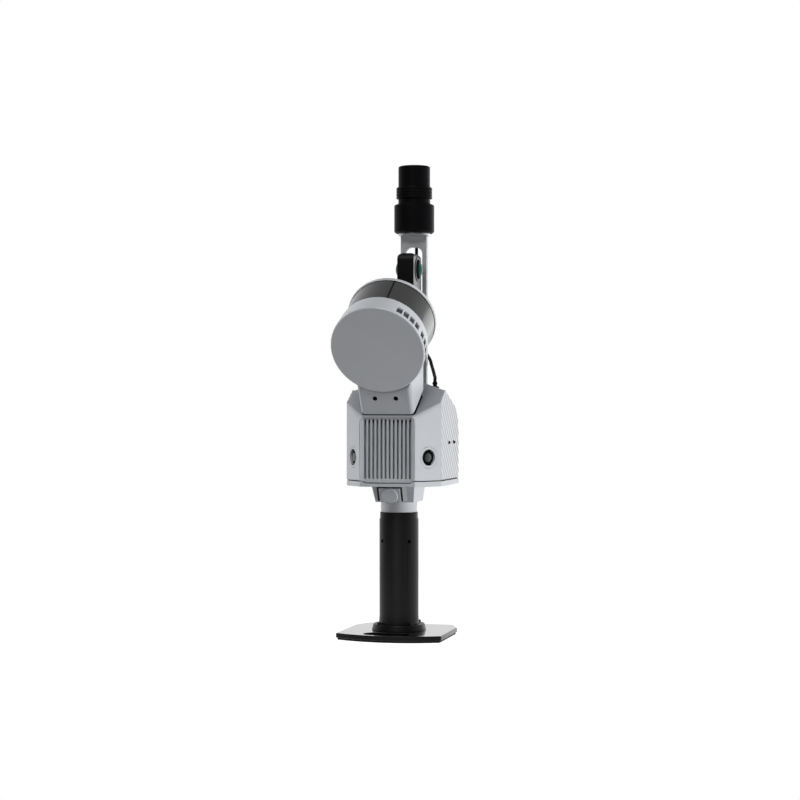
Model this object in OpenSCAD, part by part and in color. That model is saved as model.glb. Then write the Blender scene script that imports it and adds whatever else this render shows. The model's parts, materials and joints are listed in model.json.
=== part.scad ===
// Handheld mobile lidar scanner on its stand: base plate, grip, electronics body,
// tilted spinning lidar head, and a mast with a panoramic camera and an antenna.
// Origin: on the standing surface, under the axis of the grip. The front faces -Y.

/* [Base] */
// Width of the base plate
base_w = 111.5; // [96:0.5:130]
// Reach of the base plate in front of the grip axis
base_front = 61; // [58:1:70]
// Reach of the base plate behind the grip axis
base_rear = 53; // [46:1:62]
// Distance from the grip axis forward to the front corners of the base plate
base_side_front = 46; // [40:1:50]
// Distance from the grip axis back to the rear end of the straight sides
base_side_rear = 30; // [24:1:38]
// Width of the straight rear edge of the base plate
base_rear_w = 92; // [70:1:94]
// Thickness of the base plate
base_t = 5; // [4:0.5:8]
// Thickness of the rubber pad under the base plate
pad_t = 2; // [1:0.5:4]
// Distance from the edge of the plate to the edge of the pad
pad_inset = 1.5; // [0.5:0.5:4]
// Length of the ground mark window in the base plate, across
mark_w = 53; // [36:1:60]
// Depth of the ground mark window, front to back
mark_d = 23; // [14:1:24]
// Distance from the grip axis to the middle of the ground mark window
mark_y = 43.5; // [42:0.5:46]
// Tap radius of the tripod thread in the underside
thread_r = 2.55; // [2.4:0.05:3.5]
// Outer radius of the tripod thread insert
insert_r = 6; // [5:0.5:8]

/* [Handle] */
// Radius of the foot flange where it meets the base plate
foot_r = 28.5; // [27:0.5:30]
// Radius of the foot flange at its top
foot_top_r = 26.8; // [26.6:0.1:27]
// Height of the foot flange
foot_h = 6.5; // [5.5:0.5:9]
// Distance from the grip axis to each foot screw
foot_screw_at = 24.2; // [24:0.1:24.4]
// Radius of the grip
grip_r = 20.5; // [20:0.1:21.4]
// Length of the grip
grip_len = 117; // [90:1:140]
// Radius of the rolled band at the top of the grip
grip_top_r = 19.8; // [19:0.1:20]
// Length of the rolled band at the top of the grip
grip_top_h = 6; // [3:0.5:12]
// Growth of the grip radius at its foot
grip_flare = 0.9; // [0.2:0.1:1]
// Radius of the core tube inside the grip
core_r = 17; // [15:0.25:18]
// Wall of the core tube
core_wall = 2.7; // [1.5:0.1:4]
// Depth by which the core tube enters the foot and the collar
core_seat = 2.5; // [1.5:0.5:3]
// Radius of the four screw holes in the grip
grip_hole_r = 1.9; // [1.5:0.1:2.5]
// Distance from the top of the grip down to its screw holes
grip_hole_drop = 30; // [15:1:60]
// Length of the battery pack
battery_len = 104; // [70:1:105]
// Radius of the collar above the grip
collar_r = 19; // [18.6:0.1:19.8]
// Height of the collar
collar_h = 10.8; // [8:0.1:16]

/* [Release block] */
// Width of the release block under the body
block_w = 46; // [42:1:56]
// Width of the release block at its lower edge
block_low_w = 41; // [38:0.2:42]
// Height of the release block
block_h = 17.2; // [15:0.1:20]
// Reach of the block behind the grip axis
block_rear = 22; // [20:1:26]
// Reach of the block in front of the grip axis, at its upper edge
block_front = 26; // [25:0.5:28]
// Reach of the block in front of the grip axis, at its lower edge
block_low_front = 19; // [18:0.5:22]
// Width of the press pad
press_w = 22.5; // [20:0.5:26]
// Width of the black frame around the press pad
press_frame = 2.1; // [1.5:0.1:2.5]
// Reach of the press pad's upper edge in front of the grip axis
press_reach = 42; // [41:0.5:45]
// Slant of the press pad from upright
press_slant = 25; // [20:1:30]
// Radius of the round thumb face on the press pad
thumb_r = 8.2; // [7:0.1:8.3]
// Travel of the press pad
press_travel = 2.5; // [1:0.1:3]
// Radius of the stem behind the press pad
stem_r = 3; // [2:0.1:4]

/* [Body] */
// Width of the body across the side panels
body_w = 101.4; // [96:0.2:112]
// Width of the flat front of the body
front_w = 58.4; // [57:0.2:62]
// Distance from the grip axis to the front face
body_front = 50; // [48:0.5:53]
// Distance from the grip axis forward to the rear edge of the chamfers
side_front = 22.2; // [18:0.2:24]
// Distance from the grip axis to the rear face
body_rear = 64.5; // [62:0.5:72]
// Height of the front face, from the bottom seam to the foot of the slope
front_h = 65.3; // [62:0.1:72]
// Slope of the sloping front roof, which the lidar axis follows
lidar_tilt = 30; // [24:1:34]
// Radius of the rounded back of the roof
back_r = 78; // [76:0.5:86]
// Height of the foot of the rounded back above the bottom seam
back_h = 30.5; // [29:0.1:36]
// Width of the level middle of the roof
roof_w = 44; // [36:1:52]
// Height of the roof's side edges above the bottom seam, beside the grip axis
roof_edge_h = 92.5; // [90:0.1:96]
// Fall of the roof towards each side
roof_fall = 26.5; // [22:0.5:28]
// Fall of the roof towards the rear
roof_pitch = 20; // [17:0.5:21]
// Radius of the rear corners of the body
corner_r = 4; // [3:0.5:8]
// Wall of the main shell
shell_wall = 2.5; // [2:0.1:3.5]
// Thickness of the bottom cover
cover_t = 6; // [4:0.2:7]
// Height of the dark joint line between the shell and the bottom cover
seam_gap = 0.8; // [0.4:0.1:1]

/* [Side panels] */
// Thickness of each side panel
panel_t = 2.2; // [1.8:0.1:3]
// Distance from the rear edge of the chamfers back to the side panels
panel_setback = 0.7; // [0.6:0.1:4]
// Dark gap around the side panels
panel_gap = 0.6; // [0.4:0.1:1]
// Pitch of the diagonal ridges
ridge_pitch = 7; // [4:0.5:12]
// Depth of the diagonal ridges
ridge_depth = 0.7; // [0.3:0.1:1]
// Height of the two panel screws above the bottom seam
panel_screw_h = 38.5; // [30:0.1:50]
// Distance behind the grip axis of the front panel screw
panel_screw_y = 13.5; // [5:0.5:20]
// Distance between the two panel screws
panel_screw_gap = 24; // [18:1:28]

/* [Heat sink] */
// Width of the level rib field of the heat sink
sink_w = 51.5; // [51:0.5:54]
// Depth by which the rib field lies behind the front edges of the body
sink_recess = 2; // [1:0.25:3]
// Number of grooves in the heat sink
groove_count = 12; // [6:1:12]
// Pitch of the grooves
groove_pitch = 4.33; // [3.6:0.01:4.4]
// Width of each groove
groove_w = 2.1; // [1:0.1:2.4]
// Depth of each groove
groove_d = 5; // [2:0.25:5.5]
// Height of the groove field above and below its solid borders
groove_margin = 1.9; // [1.5:0.1:8]
// Depth by which the heat sink dips into the bottom cover
sink_dip = 1.9; // [1:0.1:2.6]
// Depth of the heat sink's core behind the front face
sink_core_d = 8.5; // [8.5:0.25:10]

/* [Navigation cameras] */
// Height of the navigation cameras above the bottom seam
nav_h = 24; // [18:0.1:40]
// Distance of each navigation camera along the chamfer from the front face
nav_along = 18.5; // [16:0.1:20]
// Radius of the bezel ring
bezel_r = 11.2; // [10:0.1:11.8]
// Radius of the lens
nav_lens_r = 8.2; // [6:0.1:9]
// Depth by which the lens lies under the bezel
nav_recess = 0.8; // [0.3:0.1:1.5]

/* [Rear face] */
// Distance of the port opening from the middle of the body
port_x = 33; // [30:0.5:34]
// Width of the port opening
port_w = 23; // [20:0.5:24]
// Height of the port opening
port_h = 18; // [14:0.5:20]
// Height of the port opening's lower edge above the bottom seam
port_z = 6.8; // [6.8:0.1:10]
// Thickness of the port cover
flap_t = 2.2; // [1.6:0.1:3]
// Overlap of the port cover over its opening
flap_lap = 1.5; // [1:0.1:2]
// Radius of the hinge pin of the port cover
pin_r = 0.9; // [0.7:0.05:1.2]
// Radius of the power button
power_r = 6; // [4:0.1:7]
// Height of the power button above the bottom seam
power_h = 18.5; // [14:0.1:24]
// Travel of the power button
power_travel = 1.2; // [0.6:0.1:2]

/* [Lidar] */
// Distance in front of the grip axis of the middle of the lidar's face
lidar_reach = 89.5; // [88:0.5:91]
// Height of the middle of the lidar's face above the bottom seam
lidar_rise = 132.7; // [131:0.1:137]
// Radius of the front cap of the lidar at its rim
cap_r = 48.4; // [44:0.1:50]
// Length of the front cap
cap_len = 26; // [24:0.5:30]
// Radius of the cap where it meets the window
cap_back_r = 47; // [43:0.1:48.5]
// Radius of the window beside the cap
window_r = 44.8; // [42:0.1:46]
// Radius of the window beside the rear base
window_back_r = 45.8; // [42.5:0.1:46.5]
// Length of the window
window_len = 40; // [34:0.5:46]
// Wall of the window
window_wall = 2.6; // [2:0.1:3.5]
// Radius of the rear base ring
rear_r = 46.6; // [44:0.1:48]
// Length of the rear base ring
rear_len = 5.5; // [5.5:0.5:10]
// Radius of the spinning rotor
rotor_r = 40; // [34:0.5:41]
// Radius of the fixed shaft
shaft_r = 5; // [3.5:0.25:6]
// Outer radius of the rotor bearings
bearing_r = 9; // [8:0.25:11]
// Number of vent groups on the cap
vent_groups = 3; // [1:1:3]
// Number of vents in a group
vent_count = 4; // [2:1:4]
// Angle between vents
vent_step = 9.6; // [8:0.2:10]
// Angle from the end of one vent group to the next
vent_skip = 13.3; // [12:0.1:16]
// Angle of the first vent from the top of the lidar
vent_start = 33.5; // [20:0.5:36]
// Width of a vent
vent_w = 6.1; // [3:0.1:6.5]
// Length of a vent along the lidar axis
vent_len = 11; // [5:0.5:12]

/* [Lidar mount] */
// Width of the lidar mount
neck_w = 57.4; // [50:0.2:58]
// Radius of the mount's front corners
neck_corner_r = 5; // [3:0.5:9]
// Distance of the mount's face behind the face of the cap
neck_setback = 4.2; // [3:0.1:8]
// Distance in front of the grip axis at which the broad part of the mount ends
neck_rear = 10; // [5:0.5:16]
// Width of the back plate behind the lidar
spine_w = 40; // [36:0.5:44]
// Thickness of the back plate
spine_t = 5; // [3:0.25:7]
// Radius of the mount's lower corners seen from the front
neck_foot_r = 4.5; // [2:0.5:8]
// Height of the dark joint line under the broad part of the mount
neck_reveal = 1.2; // [0.5:0.1:2]
// Size of the sloped lip at the front edge of the saddle
saddle_lip = 3; // [1:0.1:4]
// Gap between the saddle and the lidar
saddle_gap = 0.5; // [0.1:0.05:0.6]
// Distance from the lidar axis down to the two front screw holes of the mount
neck_hole_y = 58; // [55:0.5:62]
// Distance between the two front screw holes of the mount
neck_screw_gap = 22; // [16:1:30]
// Radius of the two front screw holes
neck_hole_r = 2.15; // [1.8:0.05:3]

/* [Mast] */
// Width of the mast plate
mast_w = 29; // [27:0.5:33]
// Thickness of the mast plate
mast_t = 6; // [5:0.25:8]
// Height of the top of the mast above the bottom seam of the body
mast_h = 261.1; // [240:0.1:290]
// Width of the arched window in the mast
arch_w = 19; // [14:0.5:21]
// Height of the arched window
arch_h = 83; // [60:1:90]
// Distance from the top of the mast down to the arched window
arch_drop = 12.6; // [10:0.1:20]
// Radius of the corners of the arched window
arch_r = 7; // [3:0.5:7]
// Height of the mast's foot on the rear face
mast_foot = 29; // [26:0.5:29]

/* [Antenna] */
// Radius of the antenna flange
flange_r = 17; // [16:0.25:18.5]
// Thickness of the antenna flange
flange_t = 2.7; // [2:0.1:4]
// Radius of the antenna base
antenna_r = 21.7; // [20:0.1:24]
// Height of the antenna base up to its neck
antenna_base_h = 32.5; // [24:0.5:40]
// Radius of the neck of the antenna
antenna_neck_r = 17.3; // [15:0.1:18]
// Height of the neck of the antenna
antenna_neck_h = 5.2; // [3:0.1:8]
// Radius of the ribbed band
band_r = 19.5; // [18:0.1:21]
// Height of the ribbed band
band_h = 12.2; // [8:0.2:16]
// Height of the radome above the band
radome_h = 22.8; // [15:0.2:40]
// Radius of the antenna lead
lead_r = 1.8; // [1.5:0.1:2]

/* [Panoramic camera] */
// Thickness of the panoramic camera
pano_w = 18.3; // [16:0.1:20]
// Depth of the panoramic camera, front to back
pano_d = 35; // [32:0.5:36]
// Height of the panoramic camera
pano_h = 104.7; // [90:0.1:110]
// Gap between the panoramic camera and the mast
pano_gap = 2; // [1:0.1:3]
// Radius of the camera's corners seen from the side
pano_corner_r = 8; // [4:0.5:10]
// Radius of the camera's edges seen from the front
pano_edge_r = 5; // [2:0.25:6]
// Distance from the top of the camera down to its lenses
pano_lens_drop = 17; // [16.5:0.5:24]
// Radius of the lens ring
pano_ring_r = 13; // [10:0.25:14]
// Rise of the lens dome above the side face
pano_bulge = 5.5; // [2:0.1:7]

/* [Fits] */
// Radial clearance of a running or located fit
run_fit = 0.05; // [0.02:0.01:0.1]
// Gap left around a moving piece
free_gap = 0.3; // [0.3:0.05:0.5]

/* [Hidden] */
$fn = 64;
eps = 0.01;
far = 400;

// Levels of the stack from the floor up to the bottom seam of the body
plate_top = pad_t + base_t;
foot_top = plate_top + foot_h;
grip_top = foot_top + grip_len;
collar_top = grip_top + collar_h;
block_top = collar_top + block_h;
seam_z = block_top + cover_t;

// Base plate: the front edge is an arc through both side corners and the front point
nose_rise = base_front - base_side_front;
nose_r = (pow(base_w / 2, 2) + pow(nose_rise, 2)) / (2 * nose_rise);
insert_top = foot_top - core_seat - 0.5;
screw_angles = [45, 135, 225, 315];

// Foot screws
foot_head_r = 2.3;
foot_head_h = 2.2;
foot_shank_r = 1.5;

// Core tube and battery
core_bottom = foot_top - core_seat;
core_top = grip_top + core_seat;
core_floor = 3;
battery_bottom = core_bottom + core_floor;
battery_r = core_r - core_wall - free_gap;
grip_screw_head_r = grip_hole_r - 0.2;
grip_screw_head_h = 1.6;
grip_screw_r = 1.2;
grip_hole_z = grip_top - grip_hole_drop;

// Release block
pocket_w = press_w + 2 * free_gap;
pocket_back = block_front - 6;
press_back = pocket_back + press_travel + 1.5;
press_bar = 1.5;
pocket_top = block_top - press_bar;
press_top = pocket_top - free_gap;
press_low = collar_top + 2;
press_low_reach = press_reach - (press_top - press_low) * tan(press_slant);
frame_setback = 0.4;
thumb_sunk = 0.5;
thumb_z = press_top - thumb_r * cos(press_slant) - thumb_sunk * sin(press_slant);
thumb_reach = press_reach - (press_top - thumb_z) * tan(press_slant);
stem_z = collar_top + block_h / 2;
stem_end = 6;
spring_r = stem_r + 1.7;
spring_seat = 8;
thumb_t = 1.2;

// Body
half_w = body_w / 2;
chamfer_angle = atan2(body_front - side_front, half_w - front_w / 2);
panel_front = side_front - panel_setback;
slope_z = seam_z + front_h;
back_y = body_rear - back_r;
back_z = seam_z + back_h;
roof_rise = (half_w - roof_w / 2) * tan(roof_fall);
inner_half = half_w - panel_t - shell_wall;
seam_step = 1.2;

// Bosses that hold the bottom cover, and the posts under the main board
boss_x = inner_half - 7.8;
boss_front_y = -8;
boss_rear_y = 40;
boss_r = 4;
boss_h = 14;
boss_rib_t = 3;
cover_screw_r = 1.5;
cover_head_r = 2.8;
cover_head_h = 2.2;
post_x = 28;
post_front_y = -22;
post_rear_y = 44;
post_r = 3;
post_h = 6;
board_half_w = post_x + 4;
board_front_y = post_front_y - 6;
board_rear_y = post_rear_y + 6;
board_t = 1.6;
board_top = seam_z + post_h + board_t;
module_w = 34;
module_d = 40;
module_h = 11;
module_floor = 4;
module_fins = 9;
fin_t = module_w / (2 * module_fins - 1);
unit_gap = 8;
unit_y = board_rear_y - 28;
storage_w = 22;
storage_d = 24;
storage_h = 5;
inertial_w = 22;
inertial_h = 10;

// Heat sink
sink_front = body_front - sink_recess;
sink_z = seam_z - sink_dip;
sink_top = slope_z - 0.4;
sink_corner_r = 5;
sink_plate_d = 4.5;
sink_core_w = sink_w + 1.5;
sink_core_top = sink_top - 1;
dip_w = front_w - 3;
dip_low_w = front_w - 12.8;
groove_low = seam_z + groove_margin;
groove_high = sink_top - groove_margin;

// Panel screws
panel_screw_r = 2.1;
panel_screw_len = 4;

// Navigation cameras
bezel_t = 3;
nav_dome_r = 18;
nav_barrel_len = 5;
nav_box = 18;
nav_box_t = 6;

// Rear face: ports to the left of the mast, power button to the right
port_low = seam_z + port_z;
port_panel_t = 3;
socket_d = 10;
port_hole_r = 4.2;
port_bore_r = 2.6;
port_mid = port_low + port_h / 2;
flap_y = body_rear + free_gap;
hinge_r = pin_r + 1.2;
hinge_y = body_rear + hinge_r + free_gap;
hinge_z = port_low - flap_lap - hinge_r - free_gap;
knuckle_w = port_w * 0.5;
ear_w = 3;
power_x = port_x;
power_z = seam_z + power_h;
ring_w = 2;
ring_t = 3;
power_proud = 1.6;
power_len = 6;

// Lidar: local z = 0 at the face of the cap, running back along the axis
window_at = cap_len;
rear_at = cap_len + window_len;
lidar_len = rear_at + rear_len;
cap_rim = 1.2;
cap_face_r = cap_r - 0.8;
cap_well_r = rotor_r;
cap_well = 11;
rotor_gap = 2.5;
rotor_at = window_at + rotor_gap;
rotor_len = window_len - 2 * rotor_gap;
bearing_t = 5;
bearing_inset = 2;
shaft_front = 6;
optic_x = 15;
optic_r = 11;
optic_d = 14;
stator_r = 24;
stator_hub_r = 12;
vent_at = 4;
vent_depth = 2.4;
base_screw_pcd = 26;
base_screw_r = 1.5;
base_screw_head_r = 2.7;
base_screw_head_h = 2.4;
base_screw_grip = 4.5;

// Lidar mount
saddle_r = cap_r + saddle_gap;
slope_drop = (lidar_reach - body_front) * sin(lidar_tilt) + (lidar_rise - front_h) * cos(lidar_tilt);
spine_at = lidar_len;
neck_hole_depth = 12;
neck_screw_r = 1.4;
neck_screw_len = 15;
neck_head_h = 3;

// Mast
mast_y = body_rear;
mast_back = mast_y + mast_t;
mast_top = seam_z + mast_h;
mast_low = seam_z + 2;
arch_top = mast_top - arch_drop;
mast_screw_x = 8.5;
mast_screw_low = mast_low + 6;
mast_screw_high = mast_low + mast_foot - 8;
mast_screw_r = 2;
mast_head_r = 3.5;
mast_head_h = 2;
mast_boss_r = 4.2;
mast_boss_len = 8;

// Antenna on the mast's centre line
antenna_y = mast_y + mast_t / 2;
flange_top = mast_top + flange_t;
antenna_neck_z = flange_top + antenna_base_h;
band_z = antenna_neck_z + antenna_neck_h;
radome_z = band_z + band_h;
radome_r = antenna_neck_r - 0.1;
band_rib = 0.7;
band_rib_count = 4;
base_chamfer = 2;

// Antenna lead: connector behind the mast, plug on the roof
plug_x = 30.6;
plug_y = 35;
connector_y = 78;
connector_r = 3.5;
connector_z = mast_top - 11.6;
plug_r = 4.4;
plug_ring_h = 6.3;
plug_neck_r = 2.2;
boot_r = 2.7;
boot_h = 2.8;
plug_h = 12;
socket_r = 5;
socket_top = seam_z + roof_edge_h - 1.5;
socket_depth = 12;
plug_top = socket_top + plug_h;
lead_route = [
    [0, connector_y, connector_z], [0, connector_y, connector_z - 10], [0, 78, 392], [0, 77.5, 380],
    [0, 77, 368], [0, 77, 356], [0.5, 77, 344], [1.5, 77, 332], [3, 77, 321], [5.2, 77, 311.5],
    [8.2, 76.8, 303.5], [12, 75.6, 297.4], [16.2, 72.5, 292], [19.6, 66, 285.8], [23.9, 56, 279.2],
    [27.6, 46, 273.8], [plug_x - 0.9, plug_y + 4.4, plug_top + 4.1],
    [plug_x - 0.3, plug_y + 1.9, plug_top + 3.1], [plug_x - 0.05, plug_y + 0.6, plug_top + 2.1],
    [plug_x, plug_y, plug_top + 1], [plug_x, plug_y, plug_top]
];
lead_sides = 10;

// Panoramic camera in front of the mast
pano_back_y = mast_y - pano_gap;
pano_front_y = pano_back_y - pano_d;
pano_y = (pano_front_y + pano_back_y) / 2;
pano_top = arch_top - 8.3;
pano_low = pano_top - pano_h;
pano_lens_z = pano_top - pano_lens_drop;
pano_ring_t = 1;
pano_lens_r = pano_ring_r - 2.2;
pano_dome_r = (pow(pano_lens_r, 2) + pow(pano_bulge, 2)) / (2 * pano_bulge);
pano_lens_seat = 1.5;
pano_button_r = 4.5;
pano_button_rise = 30;
pano_button_z = pano_low + pano_button_rise;
pano_button_len = 3;
pano_button_proud = 1;
pano_travel = 0.7;
shelf_t = 4;
shelf_low = pano_low - shelf_t;
pano_screw_r = 3;
pano_screw_len = 9;
pano_knob_r = 8;
pano_knob_h = 7;

// Colours as the object shows them
silver = "#B9BCC0";
pale_silver = "#DADBDD";
dark_grey = "#2B2C2E";
black = "#1C1C1D";
steel = "#8F9296";
smoked = "#3A3B3D";
board_green = "#1F5A3A";
brass = "#B08D4A";

// Shared shapes

module ring(outer, inner, height) {
    difference() {
        cylinder(r = outer, h = height);
        translate([0, 0, -eps]) cylinder(r = inner, h = height + 2 * eps);
    }
}

// Screw with its head's underside at the origin and its shank down -Z
module screw(head_r, head_h, shank_r, shank_len) {
    cylinder(r = head_r, h = head_h);
    translate([0, 0, -shank_len]) cylinder(r = shank_r, h = shank_len + eps);
}

// Rectangle with round corners, centred, in the XY plane
module round_rect(w, h, r) {
    square([w - 2 * r, h], center = true);
    square([w, h - 2 * r], center = true);
    for (sx = [-1, 1], sy = [-1, 1]) {
        translate([sx * (w / 2 - r), sy * (h / 2 - r)]) circle(r = r);
    }
}

// Turns XY profiles to stand in the XZ plane, extruded along Y from y0 to y1
module along_y(y0, y1) {
    translate([0, y1, 0]) rotate([90, 0, 0]) linear_extrude(y1 - y0) children();
}

// Turns profiles drawn as [Y, Z] to stand across X, extruded from x0 to x1
module along_x(x0, x1) {
    translate([x0, 0, 0]) rotate([90, 0, 90]) linear_extrude(x1 - x0) children();
}

module at_screw_angles(radius) {
    for (angle = screw_angles) {
        rotate([0, 0, angle]) translate([radius, 0, 0]) children();
    }
}

// Base and handle

module base_outline(inset, height) {
    intersection() {
        linear_extrude(height) polygon([
            [-base_w / 2 + inset, -base_front], [base_w / 2 - inset, -base_front],
            [base_w / 2 - inset, base_side_rear], [base_rear_w / 2 - inset, base_rear - inset],
            [-base_rear_w / 2 + inset, base_rear - inset], [-base_w / 2 + inset, base_side_rear]
        ]);
        translate([0, nose_r - base_front, 0]) cylinder(r = nose_r - inset, h = height);
    }
}

module mark_window(grow, height) {
    translate([0, -mark_y, 0]) linear_extrude(height)
        round_rect(mark_w + 2 * grow, mark_d + 2 * grow, mark_d / 2 + grow - eps);
}

module base_plate() {
    color(dark_grey) difference() {
        translate([0, 0, pad_t]) base_outline(0, base_t);
        mark_window(0, plate_top + 1);
        cylinder(r = insert_r + run_fit, h = plate_top + 1);
        at_screw_angles(foot_screw_at) cylinder(r = foot_shank_r + run_fit, h = plate_top + 1);
    }
}

module base_pad() {
    color(black) difference() {
        base_outline(pad_inset, pad_t);
        translate([0, 0, -eps]) mark_window(pad_inset, pad_t + 2 * eps);
        translate([0, 0, -eps]) cylinder(r = insert_r + free_gap, h = pad_t + 2 * eps);
    }
}

module tripod_insert() {
    color(steel) ring(insert_r, thread_r, insert_top);
}

module foot_flange() {
    color(black) difference() {
        translate([0, 0, plate_top]) cylinder(r1 = foot_r, r2 = foot_top_r, h = foot_h);
        translate([0, 0, core_bottom]) cylinder(r = core_r + run_fit, h = core_seat + 1);
        cylinder(r = insert_r + run_fit, h = insert_top);
        at_screw_angles(foot_screw_at) cylinder(r = foot_shank_r + run_fit, h = foot_top + 1);
    }
}

module foot_screws() {
    color(black) at_screw_angles(foot_screw_at) translate([0, 0, foot_top]) difference() {
        screw(foot_head_r, foot_head_h, foot_shank_r, foot_h + base_t - 0.5);
        translate([0, 0, foot_head_h - 1]) cylinder(r = foot_head_r * 0.55, h = 2, $fn = 6);
    }
}

module handle_core() {
    color(steel) difference() {
        translate([0, 0, core_bottom]) cylinder(r = core_r, h = core_top - core_bottom);
        translate([0, 0, battery_bottom]) cylinder(r = core_r - core_wall, h = core_top);
        at_screw_angles(0) translate([0, 0, grip_hole_z]) rotate([0, 90, 0])
            cylinder(r = grip_screw_r + run_fit, h = core_r + 1);
    }
}

module handle_grip() {
    inner = core_r + run_fit;
    color(black) difference() {
        rotate_extrude() polygon([
            [inner, foot_top], [grip_r + grip_flare, foot_top], [grip_r + grip_flare * 0.4, foot_top + 3],
            [grip_r, foot_top + 9], [grip_r, grip_top - grip_top_h - 1.5],
            [grip_top_r, grip_top - grip_top_h], [grip_top_r, grip_top], [inner, grip_top]
        ]);
        at_screw_angles(0) translate([0, 0, grip_hole_z]) rotate([0, 90, 0])
            cylinder(r = grip_hole_r, h = grip_r + 1);
    }
}

module grip_screws() {
    color(black) at_screw_angles(0) translate([core_r + run_fit, 0, grip_hole_z]) rotate([0, 90, 0])
        screw(grip_screw_head_r, grip_screw_head_h, grip_screw_r, core_wall - 0.3);
}

module battery_pack() {
    color("#2F4E7A") translate([0, 0, battery_bottom]) cylinder(r = battery_r, h = battery_len);
}

module handle_collar() {
    color(silver) difference() {
        translate([0, 0, grip_top]) cylinder(r = collar_r, h = collar_h);
        translate([0, 0, grip_top - eps]) cylinder(r = core_r + run_fit, h = core_seat + eps);
    }
}

// Release block and press pad

module block_wedge() {
    intersection() {
        along_x(-block_w, block_w) polygon([
            [block_rear, collar_top], [block_rear, block_top],
            [-block_front, block_top], [-block_low_front, collar_top]
        ]);
        along_y(-far, far) polygon([
            [-block_w / 2, block_top], [block_w / 2, block_top],
            [block_low_w / 2, collar_top], [-block_low_w / 2, collar_top]
        ]);
    }
}

// Frame that shields the sides and the top of the press pad
module press_shield() {
    half = pocket_w / 2 + press_frame;
    along_x(-half, half) polygon([
        [-block_low_front, press_low], [-block_low_front, block_top],
        [-press_reach + frame_setback, block_top], [-press_low_reach + frame_setback, press_low]
    ]);
}

module release_block() {
    color(silver) difference() {
        union() {
            block_wedge();
            press_shield();
        }
        translate([-pocket_w / 2, -far, collar_top - 1])
            cube([pocket_w, far - pocket_back, pocket_top - collar_top + 1]);
        translate([0, -pocket_back - 1, stem_z]) rotate([-90, 0, 0])
            cylinder(r = stem_r + run_fit, h = pocket_back - stem_end + press_travel + 2);
        translate([0, -pocket_back - 1, stem_z]) rotate([-90, 0, 0])
            cylinder(r = spring_r + free_gap, h = spring_seat + 1);
    }
}

module release_button() {
    color(silver) union() {
        along_x(-press_w / 2, press_w / 2) polygon([
            [-press_back, press_top], [-press_reach, press_top],
            [-press_low_reach, press_low], [-press_back, press_low]
        ]);
        translate([0, -thumb_reach, thumb_z]) rotate([90 + press_slant, 0, 0]) translate([0, 0, -thumb_sunk])
            cylinder(r = thumb_r, h = thumb_t + thumb_sunk);
        translate([0, -press_back - eps, stem_z]) rotate([-90, 0, 0])
            cylinder(r = stem_r, h = press_back - stem_end);
    }
}

module release_spring() {
    color(steel) translate([0, -press_back, stem_z]) rotate([-90, 0, 0])
        ring(spring_r, stem_r + free_gap, press_back - pocket_back + spring_seat);
}

// Body form: the slope, the rounded back, the falling roof sides and the plan, each moved in by inset

module slope_cut(inset) {
    translate([-far, -body_front, slope_z]) rotate([lidar_tilt, 0, 0])
        translate([0, -far, -inset - 2 * far]) cube([2 * far, 3 * far, 2 * far]);
}

module back_form(inset) {
    along_x(-far, far) union() {
        translate([back_y, back_z]) circle(r = back_r - inset);
        translate([-far, 0]) square([far + body_rear - inset, back_z]);
        translate([-far, 0]) square([far + back_y, back_z + back_r - inset]);
    }
}

module roof_form(inset) {
    side = half_w - inset;
    drop = inset / cos(roof_fall);
    translate([0, 0, seam_z + roof_edge_h]) rotate([-roof_pitch, 0, 0]) along_y(-far, far) polygon([
        [-side, -far], [side, -far], [side, inset * tan(roof_fall) - drop],
        [roof_w / 2, roof_rise - drop], [-roof_w / 2, roof_rise - drop],
        [-side, inset * tan(roof_fall) - drop]
    ]);
}

module plan_form(inset, low, high) {
    side = half_w - inset;
    front = front_w / 2 - inset * tan(chamfer_angle / 2);
    bend = side_front - inset * tan(45 - chamfer_angle / 2);
    rear = body_rear - inset;
    round = max(corner_r - inset, 0.5);
    translate([0, 0, low]) linear_extrude(high - low) union() {
        polygon([
            [-front, -body_front + inset], [front, -body_front + inset], [side, -bend],
            [side, rear - round], [side - round, rear], [-side + round, rear],
            [-side, rear - round], [-side, -bend]
        ]);
        for (s = [-1, 1]) translate([s * (side - round), rear - round]) circle(r = round);
    }
}

module body_form(inset, low) {
    intersection() {
        plan_form(inset, low, low + far / 2);
        slope_cut(inset);
        back_form(inset);
        roof_form(inset);
    }
}

module at_bosses() {
    for (sx = [-1, 1], y = [boss_front_y, boss_rear_y]) translate([sx * boss_x, y, 0]) children();
}

// Ribs that tie the bosses to the side walls
module boss_ribs() {
    for (s = [0, 1], y = [boss_front_y, boss_rear_y]) mirror([s, 0, 0])
        translate([boss_x, y - boss_rib_t / 2, seam_z]) cube([inner_half - boss_x + 1, boss_rib_t, boss_h]);
}

module at_posts() {
    for (sx = [-1, 1], y = [post_front_y, post_rear_y]) translate([sx * post_x, y, 0]) children();
}

module at_mast_screws() {
    for (sx = [-1, 1], z = [mast_screw_low, mast_screw_high]) {
        translate([sx * mast_screw_x, mast_back, z]) rotate([-90, 0, 0]) children();
    }
}

// Places children on a chamfer with +Z out of the body; side is 1 on the right and -1 on the left
module at_nav_camera(side) {
    across = front_w / 2 + nav_along * cos(chamfer_angle);
    back = nav_along * sin(chamfer_angle) - body_front;
    translate([side * across, back, seam_z + nav_h]) rotate([90, 0, side * chamfer_angle]) children();
}

module at_power() {
    translate([power_x, body_rear, power_z]) rotate([-90, 0, 0]) children();
}

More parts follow.
